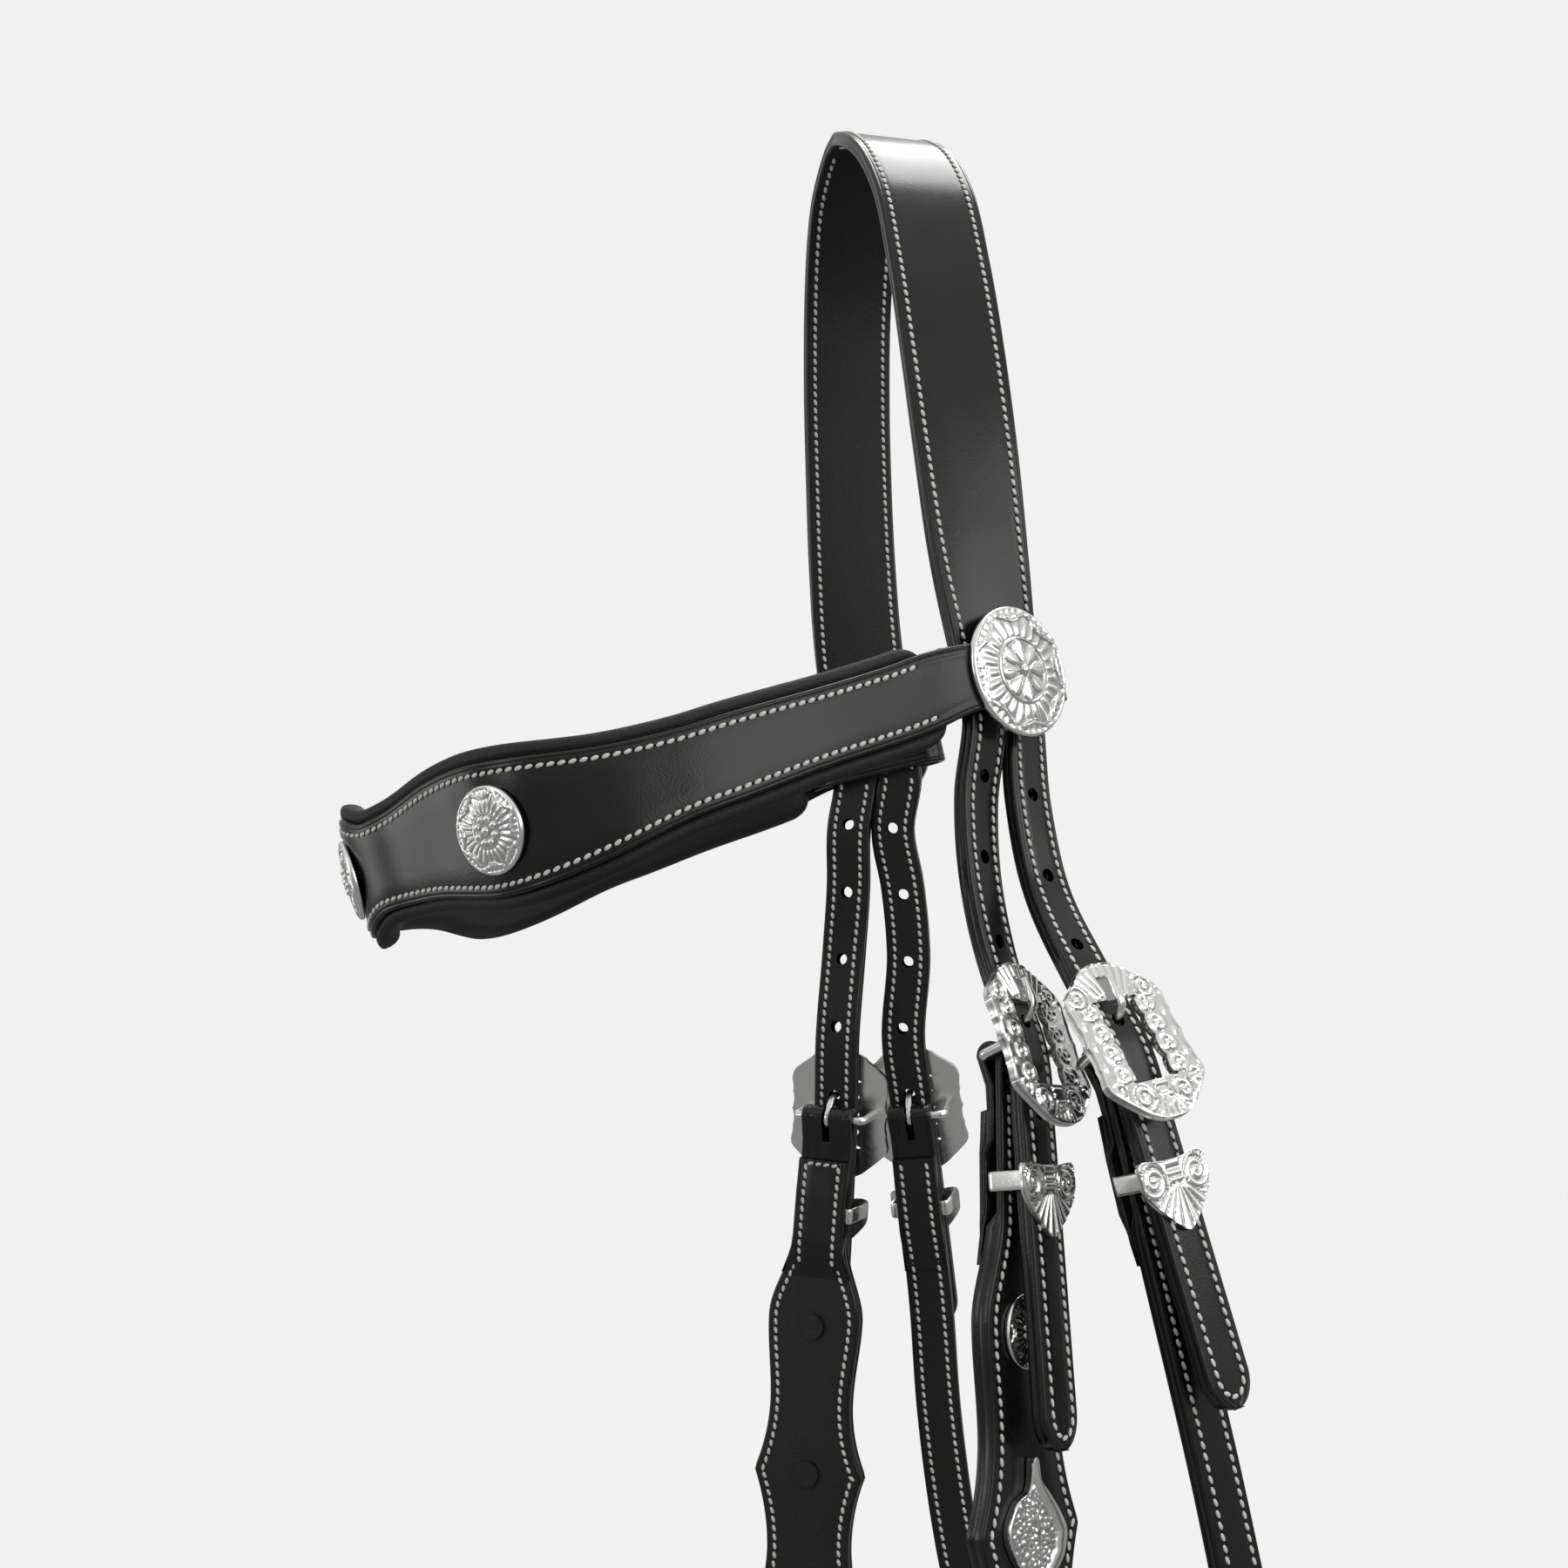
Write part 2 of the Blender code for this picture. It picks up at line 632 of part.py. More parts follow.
def cheek_course(where, side):
    """The line through the bar's middle that the cheekpiece and the throatlash hang along."""
    seat = bar_seat(where, side)
    knots = [(seat.place(0, -down, 0), seat.across) for down in (0.0, KEEPER_DROP, 2 * KEEPER_DROP)]
    return seat, knots


def top_fold(course, half_width, thickness, tail):
    """Sections of a strap's tail, its fold over the bar and the start of its front."""
    stations = []
    end_front = LOOP_OUTER - thickness - FIT_GAP
    for distance in (tail, FULL_START):
        stations.append((course.at(distance), half_width(distance), end_front - LOOP_LEATHER, end_front))
    for distance in spread(LINING_SKIVE, THIN_END, ROW_STEP)[::-1]:
        stations.append((course.at(distance), half_width(distance), TAIL_FRONT - LOOP_LEATHER, TAIL_FRONT))
    top = course.at(0.0)
    for angle in range(180, -1, -20):
        turn = math.radians(angle)
        out = math.cos(turn)
        up = math.sin(turn)
        stations.append((top, half_width(0.0), (LOOP_OUTER * out, LOOP_OUTER * up),
                         (LOOP_INNER * out, LOOP_INNER * up)))
    return stations


def fold_ring(station, half_width, outer, inner):
    """Like flat_ring, for heights that may come with a rise above the station."""
    points = []
    for level, signs in ((outer, (-1, 1)), (inner, (1, -1))):
        out, up = level if isinstance(level, tuple) else (level, 0.0)
        points += [station.offset(sign * half_width, out, -up) for sign in signs]
    return points


def smooth_width(table, distance, length, widths):
    """A half width read from a table of distance shares, eased between its entries."""
    share = distance / length
    for (start, before), (end, after) in zip(table, table[1:]):
        if share <= end:
            ease = max(0.0, (share - start) / (end - start))
            ease = ease * ease * (3 - 2 * ease)
            return (widths[before] * (1 - ease) + widths[after] * ease) / 2
    return widths[table[-1][1]] / 2


def cheekpiece(name, side):
    """One strap: its tail, the fold over the bar, the shaped front, the bit loop and its end."""
    seat, knots = cheek_course("front", side)
    knots += [knot(shares, side) for shares in cheek_shares[side]]
    course = Course(knots, side)
    widths = {"loop": CHEEK_LOOP_WIDTH, "bulge": CHEEK_BULGE, "waist": CHEEK_WAIST, "point": CHEEK_POINT}

    def half_width(distance):
        return smooth_width(cheek_width_shares, distance, CHEEK_LENGTH, widths)

    sections = top_fold(course, half_width, CHEEK_THICKNESS, TAIL_LENGTH)
    low = CHEEK_LENGTH - LINING_SKIVE - BIT_LOOP_RADIUS
    start = LINING_SKIVE
    sections.append((course.at(start / 2), half_width(start), LOOP_OUTER, LOOP_INNER))
    for distance in spread(2 * start, THIN_END, ROW_STEP / 2):
        sections.append((course.at(distance), half_width(distance), LOOP_OUTER, FRONT_LAYER_BACK))
    for distance in spread(FULL_START, low, ROW_STEP / 2):
        sections.append((course.at(distance), half_width(distance), LOOP_OUTER, CHEEK_BACK))
    sections.append((course.at(low + LINING_SKIVE), half_width(low), LOOP_OUTER, LOOP_INNER))
    bottom = course.at(CHEEK_LENGTH)
    centre = LOOP_INNER - BIT_LOOP_RADIUS
    bit_tail_front = CHEEK_BACK - FIT_GAP
    for angle in range(0, 181, 20):
        turn = math.radians(angle)
        outer = BIT_LOOP_RADIUS + LOOP_LEATHER
        sections.append((bottom, CHEEK_LOOP_WIDTH / 2,
                         (centre + outer * math.cos(turn), -outer * math.sin(turn)),
                         (centre + BIT_LOOP_RADIUS * math.cos(turn), -BIT_LOOP_RADIUS * math.sin(turn))))
    for share in (0.3, 0.7, 1.0):
        distance = CHEEK_LENGTH - share * (LINING_SKIVE + BIT_LOOP_RADIUS) - FIT_GAP
        ease = share * share * (3 - 2 * share)
        front = (centre - BIT_LOOP_RADIUS) * (1 - ease) + bit_tail_front * ease
        sections.append((course.at(distance), CHEEK_LOOP_WIDTH / 2, front - LOOP_LEATHER, front))
    for distance in spread(CHEEK_LENGTH - BIT_TAIL_LENGTH, low - LINING_SKIVE, ROW_STEP)[::-1]:
        sections.append((course.at(distance), CHEEK_LOOP_WIDTH / 2, bit_tail_front - LOOP_LEATHER, bit_tail_front))
    shape = loft([fold_ring(*section) for section in sections])
    piece = add_piece(name, shape, black_leather)
    tongue_slot(piece, name, "front", side)
    for index, distance in enumerate(stud_distances()):
        post_hole(piece, f"{name}_stud_hole_{index}", course.at(distance), side)
    post_hole(piece, f"{name}_screw_hole", course.at(bit_screw_distance()), side)
    return course


def stud_distances():
    return [share * CHEEK_LENGTH for share in stud_shares]


def bit_screw_distance():
    return CHEEK_LENGTH - BIT_LOOP_RADIUS - BIT_SCREW_SETBACK


def tongue_slot(piece, name, where, side):
    """The slot in a strap's fold that the tongue goes round the bar in."""
    half = TONGUE_RADIUS + FIT_GAP
    reach = LOOP_OUTER + OVERRUN / 4
    shape = box(half, FIT_GAP - LINING_SKIVE, reach, -reach, reach)
    cut(piece, name + "_tongue_slot", moved(shape, buckle_seat(where, side).matrix()))


def post_hole(piece, name, station, side):
    radius = POST_RADIUS + FIT_GAP
    depth = CHEEK_THICKNESS + LOOP_LEATHER + OVERRUN
    seat = Seat(station.point, station.across, -station.along, side)
    cut(piece, name, moved(disc(10, [(radius, -depth), (radius, depth)]), seat.matrix()))


def throatlash():
    """One strap in a U under the throat, folded round the rear bars, with a tail inside each end."""
    left_seat, left_knots = cheek_course("rear", LEFT)
    right_seat, right_knots = cheek_course("rear", RIGHT)
    left_knots += [knot(shares, LEFT) for shares in throat_shares[LEFT]]
    right_knots += [knot(shares, RIGHT) for shares in throat_shares[RIGHT]]
    bottom = [knot(shares, LEFT) for shares in throat_bottom_shares]
    bottom[-1] = (bottom[-1][0], Vector((-bottom[-1][1].x, bottom[-1][1].y, 0.0)))
    knots = left_knots + bottom + right_knots[::-1]
    course = Course(knots, LEFT)
    half = THROAT_WIDTH / 2

    def half_width(_):
        return half

    ends = []
    for side, own in ((LEFT, left_knots), (RIGHT, right_knots)):
        fold = top_fold(Course(own, side), half_width, THROAT_THICKNESS, TAIL_LENGTH)
        ends.append([fold_ring(*section) for section in fold])
    front, back = LOOP_OUTER, LOOP_OUTER - THROAT_THICKNESS
    rings = ends[0]
    rings.append(flat_ring(course.at(LINING_SKIVE / 2), half, front, LOOP_INNER))
    thin = [(distance, FRONT_LAYER_BACK) for distance in spread(2 * LINING_SKIVE, THIN_END, ROW_STEP)]
    full = [(distance, back) for distance in spread(FULL_START, course.length - FULL_START, ROW_STEP)]
    other = [(course.length - distance, level) for distance, level in reversed(thin)]
    for distance, level in thin + full + other:
        rings.append(flat_ring(course.at(distance), half, front, level))
    rings.append(flat_ring(course.at(course.length - LINING_SKIVE / 2), half, front, LOOP_INNER))
    rings += ends[1][::-1]
    piece = add_piece("throatlash", loft(rings), black_leather)
    tongue_slot(piece, "throatlash_left", "rear", LEFT)
    tongue_slot(piece, "throatlash_right", "rear", RIGHT)


def stud_profile(radius, thickness, post_end):
    """A domed ornament on a surface at height zero, with its post to below."""
    return [
        (POST_RADIUS, post_end), (POST_RADIUS, FIT_GAP), (radius, FIT_GAP),
        *((radius * across, thickness * up) for across, up in dome_shares),
    ]


def stud(name, seat, radius, thickness, depth, sides=18):
    """A round ornament and the screw that holds it, on opposite faces of the leather."""
    shape = disc(sides, stud_profile(radius, thickness, -depth))
    add_piece(name, moved(shape, seat.matrix()), silver, seat.point, True)
    top = -depth - FIT_GAP
    head = disc(12, [(SCREW_HEAD_RADIUS, top - SCREW_HEAD_THICKNESS), (SCREW_HEAD_RADIUS, top)])
    add_piece(name + "_screw", moved(head, seat.matrix()), silver, seat.point)


def leaf_outline():
    """A bud with a stem above and below, its left side fuller, going round once."""
    right_shares = [(0.05, 1.0), (0.12, 0.72), (0.42, 0.50), (0.86, 0.14), (1.0, -0.12), (0.78, -0.44),
                    (0.36, -0.68), (0.22, -1.0)]
    left_shares = [(0.04, -1.0), (-0.12, -0.66), (-0.62, -0.46), (-0.94, -0.14), (-0.98, 0.14), (-0.68, 0.44),
                   (-0.24, 0.60), (-0.12, 1.0)]
    return [(x * LEAF_WIDTH / 2, y * LEAF_HEIGHT / 2) for x, y in right_shares + left_shares]


def leaf(name, seat, depth):
    outline = leaf_outline()
    shape = plate(outline, FIT_GAP, STUD_THICKNESS)
    piece = add_piece(name, moved(shape, seat.matrix()), silver, seat.point)
    post = disc(10, [(POST_RADIUS, -depth), (POST_RADIUS, STUD_THICKNESS / 2)])
    cut(piece, name + "_post", moved(post, seat.matrix()), "UNION")
    top = -depth - FIT_GAP
    head = disc(12, [(SCREW_HEAD_RADIUS, top - SCREW_HEAD_THICKNESS), (SCREW_HEAD_RADIUS, top)])
    add_piece(name + "_screw", moved(head, seat.matrix()), silver, seat.point)


def surface_seat(station, out, side):
    """A seat on a strap's outer face, facing out."""
    return Seat(station.offset(0, out), station.across, -station.along, side)


def cheek_fittings(hand, side, course):
    names = ("upper_cheek_concho", "cheek_leaf", "lower_cheek_concho")
    for name, distance in zip(names, stud_distances()):
        seat = surface_seat(course.at(distance), LOOP_OUTER, side)
        if name == "cheek_leaf":
            leaf(f"{hand}_{name}", seat, CHEEK_THICKNESS)
        else:
            stud(f"{hand}_{name}", seat, ROUND_STUD_RADIUS, STUD_THICKNESS, CHEEK_THICKNESS)
    seat = surface_seat(course.at(bit_screw_distance()), LOOP_OUTER, side)
    depth = CHEEK_THICKNESS + FIT_GAP + LOOP_LEATHER
    cap = disc(16, [(POST_RADIUS, -depth), (POST_RADIUS, FIT_GAP), (BIT_SCREW_RADIUS, FIT_GAP),
                    (BIT_SCREW_RADIUS, 2 * SCREW_HEAD_THICKNESS),
                    (BIT_SCREW_RADIUS / 2, 3 * SCREW_HEAD_THICKNESS)])
    add_piece(f"{hand}_bit_screw_cap", moved(cap, seat.matrix()), silver, seat.point, True)
    top = -depth - FIT_GAP
    back = disc(16, [(BIT_SCREW_RADIUS, top - SCREW_HEAD_THICKNESS), (BIT_SCREW_RADIUS, top)])
    add_piece(f"{hand}_bit_screw", moved(back, seat.matrix()), silver, seat.point)


class Browband:
    """The browband's left half, from its middle to the end of its loop, and what lies along it."""

    def __init__(self):
        crown = crown_course(LEFT)
        self.strap = crown.at(crown.nearest(knot(crown_shares[LOOP_ROW], LEFT)[0]))
        pitch = math.radians(BROW_PITCH)
        self.forward = Vector((0.0, -math.cos(pitch), -math.sin(pitch)))
        self.up = Vector((0.0, -math.sin(pitch), math.cos(pitch)))
        self.centre = Vector((0.0, self.strap.point.y, self.strap.point.z))
        droop = math.radians(LIFT_RANGE / 2)
        turn = Matrix.Rotation(droop, 3, "X")
        self.loop_up = turn @ -self.strap.along
        across = self.strap.across - self.loop_up * self.strap.across.dot(self.loop_up)
        self.loop_across = across.normalized()
        self.loop_out = self.loop_across.cross(self.loop_up)
        self.knots = [(self.plan(*shares), self.up) for shares in browband_shares]
        self.loop_knots()

    def plan(self, sideways_share, forward_share, rise_share):
        sideways = Vector((sideways_share * BROW_HALF_SPAN, 0.0, 0.0))
        return self.centre + sideways + (self.forward * forward_share + self.up * rise_share) * BROW_REACH

    def loop_place(self, across, out):
        return self.strap.point + self.loop_across * across + self.loop_out * out

    def loop_knots(self):
        """The loop: over the strap's outer face, round its rear edge, back inside and forwards."""
        side = CROWN_WIDTH / 2 + LOOP_SLACK
        front = STRAP_THICKNESS / 2 + LOOP_SLACK + SCREW_HEAD_THICKNESS + FACE_THICKNESS / 2
        back = STRAP_THICKNESS / 2 + LOOP_SLACK + FACE_THICKNESS / 2
        bend = (front + back) / 2
        middle = (front - back) / 2
        near_share, end_share, back_share = loop_end_shares
        route = [(-side, front), (-side / 2, front), (0.0, front), (side / 2, front)]
        route += [(side * near_share, front), (side, front)]
        for angle in (25, 60, 90, 120, 155):
            turn = math.radians(angle)
            route.append((side + bend * math.sin(turn), middle + bend * math.cos(turn)))
        route += [(side, -back), (side / 2, -back), (0.0, -back), (-side / 2, -back), (-side, -back)]
        self.loop_start = len(self.knots)
        self.knots += [(self.loop_place(across, out), self.loop_up) for across, out in route]
        side_end = -side - bend * end_share
        self.knots.append((self.loop_place(-side - bend, -back * back_share), self.loop_up))
        self.knots.append((self.loop_place(side_end, front - FACE_THICKNESS - 2 * FIT_GAP), self.loop_up))
        self.course = Course(self.knots, LEFT)
        self.front_end = self.course.nearest(self.knots[self.loop_start][0])
        self.rosette_at = self.course.nearest(self.knots[self.loop_start + 2][0])

    def half_height(self, distance):
        share = distance / self.front_end
        for (start, before), (end, after) in zip(browband_height_shares, browband_height_shares[1:]):
            if share <= end:
                ease = max(0.0, (share - start) / (end - start))
                ease = ease * ease * (3 - 2 * ease)
                return (self.height(before) * (1 - ease) + self.height(after) * ease) / 2
        return BROW_LOOP_HEIGHT / 2

    @staticmethod
    def height(share):
        return BROW_LOOP_HEIGHT + (BROW_BULGE - BROW_LOOP_HEIGHT) * share

    def stations(self, start, end, step):
        return [(self.course.at(distance), distance) for distance in spread(start, end, step)]


def mirrored_whole(rings):
    """Rings of a left half whose first ring lies in the middle, made whole by its mirror image."""
    flip = Vector((-1.0, 1.0, 1.0))
    other = [[point * flip for point in ring] for ring in rings[1:]]
    return other[::-1] + rings


def browband_face(band):
    rings = []
    half = FACE_THICKNESS / 2
    coarse = band.stations(0.0, band.front_end, ROW_STEP / 2)
    loop = band.stations(band.front_end, band.course.length, ROW_STEP / 3)[1:]
    for station, distance in coarse + loop:
        rings.append(flat_ring(station, band.half_height(distance), half, -half))
    piece = add_piece("browband_face", loft(mirrored_whole(rings)), black_leather)
    for name, seat, depth in stud_seats(band):
        radius = POST_RADIUS + FIT_GAP
        hole = disc(10, [(radius, -depth - OVERRUN), (radius, OVERRUN)])
        cut(piece, f"face_hole_{name}", moved(hole, seat.matrix()))
    return piece


def tub_ring(station, height, inset):
    """Half of a padded section, from one lip round the back to the other."""
    back_shares = [(1.0, 0.0), (1.0, 0.45), (0.88, 0.86), (0.0, 1.0)]
    front = -FACE_THICKNESS / 2 - FIT_GAP
    half = height / 2 - inset
    depth = PAD_DEPTH - inset
    points = [station.offset(x * half, front - y * depth) for x, y in back_shares]
    points += [station.offset(-x * half, front - y * depth) for x, y in reversed(back_shares[:-1])]
    return points


def tub_stations(band, inset):
    """Where the padded sections stand: whole over the middle, their ends drawn in round."""
    end = band.front_end - PAD_SHORT - inset
    rounding = 2 * PAD_PROUD
    rows = []
    for distance in spread(0.0, band.front_end, ROW_STEP / 2):
        if distance < end - rounding - ROW_STEP / 4:
            rows.append((band.course.at(distance), 2 * band.half_height(distance) + 2 * PAD_PROUD))
    full = 2 * band.half_height(end) + 2 * PAD_PROUD
    for angle in (40, 70):
        turn = math.radians(angle)
        drawn = full * (PAD_END_SHARE + (1 - PAD_END_SHARE) * math.cos(turn))
        rows.append((band.course.at(end - rounding * (1 - math.sin(turn))), drawn))
    return rows


def padded_rings(band, inset):
    return mirrored_whole([tub_ring(station, height, inset) for station, height in tub_stations(band, inset)])


def browband_lining(band):
    """A leather tray, open towards the face, that wraps the foam."""
    outer = padded_rings(band, 0.0)
    inner = padded_rings(band, LINING_WALL)
    shape = bmesh.new()
    outside = [[shape.verts.new(point) for point in ring] for ring in outer]
    inside = [[shape.verts.new(point) for point in ring] for ring in inner]
    for skin in (outside, inside):
        for before, after in zip(skin, skin[1:]):
            for index in range(len(before) - 1):
                shape.faces.new((before[index], before[index + 1], after[index + 1], after[index]))
        shape.faces.new(skin[0])
        shape.faces.new(skin[-1])
    for index in range(len(outside) - 1):
        for lip in (0, -1):
            shape.faces.new((outside[index][lip], outside[index + 1][lip], inside[index + 1][lip],
                             inside[index][lip]))
    for end in (0, -1):
        shape.faces.new((outside[end][0], outside[end][-1], inside[end][-1], inside[end][0]))
    piece = add_piece("browband_lining", shape, lining_leather)
    pad_holes(piece, "lining", band)


def browband_padding(band):
    rings = padded_rings(band, LINING_WALL + FIT_GAP)
    piece = add_piece("browband_padding", loft(rings), foam)
    pad_holes(piece, "padding", band)


def pad_holes(piece, prefix, band):
    for name, seat, depth in stud_seats(band)[:3]:
        radius = POST_RADIUS + FIT_GAP
        hole = disc(10, [(radius, -depth - OVERRUN), (radius, -FACE_THICKNESS)])
        cut(piece, f"{prefix}_hole_{name}", moved(hole, seat.matrix()))


def band_seat(band, distance, side):
    station = band.course.at(distance)
    seat = Seat(station.offset(0, FACE_THICKNESS / 2), station.along, station.across, LEFT)
    if side == RIGHT:
        flip = Vector((-1.0, 1.0, 1.0))
        seat = Seat(seat.point * flip, seat.across * flip, seat.up * flip, RIGHT)
    return seat


def stud_seats(band):
    """The name, seat and post length of each ornament on the browband."""
    side_at = band.course.nearest(band.plan(*browband_shares[SIDE_STUD]))
    through = FACE_THICKNESS + FIT_GAP + PAD_DEPTH + SCREW_SEAT
    return [
        ("browband_centre_concho", band_seat(band, 0.0, LEFT), through),
        ("left_browband_concho", band_seat(band, side_at, LEFT), through),
        ("right_browband_concho", band_seat(band, side_at, RIGHT), through),
        ("left_rosette", band_seat(band, band.rosette_at, LEFT), FACE_THICKNESS),
        ("right_rosette", band_seat(band, band.rosette_at, RIGHT), FACE_THICKNESS),
    ]


def browband():
    band = Browband()
    browband_face(band)
    browband_lining(band)
    browband_padding(band)
    for name, seat, depth in stud_seats(band):
        if "rosette" in name:
            stud(name, seat, ROSETTE_RADIUS, ROSETTE_THICKNESS, depth, 28)
        else:
            stud(name, seat, BROW_STUD_RADIUS, BROW_STUD_THICKNESS, depth)
    print("browband hinge", tuple(round(value, 5) for value in band.strap.point))


def main():
    for old in list(bpy.data.objects):
        bpy.data.objects.remove(old)
    headpiece()
    browband()
    for hand, side in (("left", LEFT), ("right", RIGHT)):
        course = cheekpiece(f"{hand}_cheekpiece", side)
        cheek_fittings(hand, side, course)
        for where in ("front", "rear"):
            seat = buckle_seat(where, side)
            buckle_frame(f"{hand}_{where}_buckle", seat)
            tongue(f"{hand}_{where}_tongue", seat)
            keeper(f"{hand}_{where}_keeper", keeper_seat(where, side))
            print(hand, where, "bar", tuple(round(value, 5) for value in seat.point),
                  "along", tuple(round(value, 5) for value in seat.across))
    throatlash()


main()
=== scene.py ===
# %% [markdown]
# # A show bridle in Blender
# This bridle is black leather with white stitching and cast silver fittings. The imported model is
# the frame: it says where each part is and what moves. Each cell below makes the finer piece that
# stands in a plain solid's place, and lets it ride on the same body.

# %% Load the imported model
import math

import bmesh
import bpy
from mathutils import Matrix, Vector, noise


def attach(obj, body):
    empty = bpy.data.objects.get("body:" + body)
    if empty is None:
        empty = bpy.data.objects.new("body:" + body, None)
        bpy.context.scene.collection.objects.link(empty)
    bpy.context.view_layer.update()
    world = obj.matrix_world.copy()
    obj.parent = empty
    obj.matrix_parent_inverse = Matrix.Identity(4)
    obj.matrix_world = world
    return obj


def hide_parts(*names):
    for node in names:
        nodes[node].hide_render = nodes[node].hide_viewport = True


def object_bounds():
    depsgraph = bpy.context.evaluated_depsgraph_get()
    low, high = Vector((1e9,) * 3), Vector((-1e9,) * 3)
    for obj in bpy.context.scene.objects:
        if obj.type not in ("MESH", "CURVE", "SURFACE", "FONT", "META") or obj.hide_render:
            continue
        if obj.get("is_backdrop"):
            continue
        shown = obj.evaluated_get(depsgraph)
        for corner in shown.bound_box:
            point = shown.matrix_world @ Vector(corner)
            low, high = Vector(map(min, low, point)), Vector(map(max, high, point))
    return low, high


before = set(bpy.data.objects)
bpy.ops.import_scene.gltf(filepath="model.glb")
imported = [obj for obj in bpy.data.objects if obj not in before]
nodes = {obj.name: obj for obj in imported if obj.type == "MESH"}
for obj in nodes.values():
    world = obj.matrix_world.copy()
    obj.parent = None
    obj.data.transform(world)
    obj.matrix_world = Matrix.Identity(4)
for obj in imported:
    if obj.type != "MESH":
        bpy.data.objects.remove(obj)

cad_low, cad_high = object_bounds()
print("nodes", len(nodes), "box in mm", [round(value * 1000, 1) for value in cad_high - cad_low])

# %% [markdown]
# ## Camera, floor and light
# The bridle hangs as on a horse's head, seen from its left side and a little from below. Polished
# black leather shows only what it reflects: a pale panel gives the long soft sheen, and a dark gap
# gives the deep black. So the room is dim, the panels stand where the sheens look, and only the
# camera sees the pale backdrop.

# %% Things in the scene, and the camera at the photograph's viewing angle
def linked(name, data):
    """A new object of the scene with the given data."""
    item = bpy.data.objects.new(name, data)
    bpy.context.scene.collection.objects.link(item)
    return item


def as_mesh(name, shape):
    """Turn a bmesh into a mesh, and let the bmesh go."""
    mesh = bpy.data.meshes.new(name)
    shape.to_mesh(mesh)
    shape.free()
    return mesh


def on_circle(degrees):
    """The cosine and the sine of an angle in degrees."""
    turn = math.radians(degrees)
    return math.cos(turn), math.sin(turn)


SENSOR, PICTURE_PIXELS, FOCAL_PIXELS, PITCH_UP = 36.0, 1800, 1990, 8.7
CAMERA_PLACE, LEVEL_WAY, NEAREST_SEEN = (0.5457, -0.1656, -0.30985), (-0.9716, 0.2368), 0.02
camera = linked("camera", bpy.data.cameras.new("camera"))
camera.data.sensor_width = SENSOR
camera.data.lens = FOCAL_PIXELS * SENSOR / PICTURE_PIXELS
camera.data.clip_start = NEAREST_SEEN
camera.location = CAMERA_PLACE
level, rising = on_circle(PITCH_UP)
look = Vector((LEVEL_WAY[0] * level, LEVEL_WAY[1] * level, rising))
camera.rotation_euler = look.to_track_quat("-Z", "Y").to_euler()
bpy.context.scene.camera = camera
print("camera looks along", [round(value, 3) for value in look])


# %% Colours and nodes for every material
def paint(hex_colour):
    """An sRGB hex colour as the linear red, green, blue and alpha that a shader takes."""
    channels = [int(hex_colour[index:index + 2], 16) / 255 for index in (0, 2, 4)]
    linear = [c / 12.92 if c <= 0.04045 else ((c + 0.055) / 1.055) ** 2.4 for c in channels]
    return (*linear, 1.0)


def blank_material(name):
    """A new material, its node tree and its shader."""
    material = bpy.data.materials.new(name)
    material.use_nodes = True
    tree = material.node_tree
    return material, tree, tree.nodes["Principled BSDF"]


def add_node(tree, kind, settings=None, values=None, links=None):
    """Add one node: its own settings, the values of its sockets, and what is linked into them."""
    node = tree.nodes.new(kind)
    for name, value in (settings or {}).items():
        setattr(node, name, value)
    for socket, value in (values or {}).items():
        node.inputs[socket].default_value = value
    for socket, source in (links or {}).items():
        tree.links.new(source, node.inputs[socket])
    return node


print("white as a shader sees it", paint("ffffff"))

# %% Floor, backdrop and panels
FLOOR, FLOOR_HALF = -0.70, 4.0
BACKDROP = "f1f1f1"
stage = bmesh.new()
bmesh.ops.create_grid(stage, x_segments=2, y_segments=2, size=FLOOR_HALF)
bmesh.ops.translate(stage, verts=stage.verts, vec=(0, 0, FLOOR))
floor = linked("floor", as_mesh("floor", stage))
floor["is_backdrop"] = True
floor_paint, _, shader = blank_material("matt_studio_paint")
shader.inputs["Base Color"].default_value = paint("0c0c0c")
shader.inputs["Roughness"].default_value = 0.9
shader.inputs["Specular IOR Level"].default_value = 0.0
shader.inputs["Emission Color"].default_value = paint(BACKDROP)
shader.inputs["Emission Strength"].default_value = 1.0
floor.visible_glossy = False
floor.visible_diffuse = False
floor.data.materials.append(floor_paint)

bpy.context.scene.view_settings.view_transform = "Standard"
world = bpy.data.worlds.new("studio")
bpy.context.scene.world = world
world.use_nodes = True
sky = world.node_tree
seen = sky.nodes["Background"]
seen.inputs["Color"].default_value = paint(BACKDROP)
way = add_node(sky, "ShaderNodeTexCoord").outputs["Generated"]
rise = add_node(sky, "ShaderNodeSeparateXYZ", links={"Vector": way}).outputs["Z"]
dim_to_bright = {"From Min": -0.25, "From Max": 0.8, "To Min": 0.24, "To Max": 0.70}
dim = add_node(sky, "ShaderNodeMapRange", values=dim_to_bright, links={"Value": rise}).outputs["Result"]
room = add_node(sky, "ShaderNodeBackground", values={"Color": paint("ffffff")}, links={"Strength": dim})
ray = add_node(sky, "ShaderNodeLightPath").outputs["Is Camera Ray"]
both = add_node(sky, "ShaderNodeMixShader", links={0: ray, 1: room.outputs[0], 2: seen.outputs[0]})
sky.links.new(both.outputs[0], sky.nodes["World Output"].inputs["Surface"])

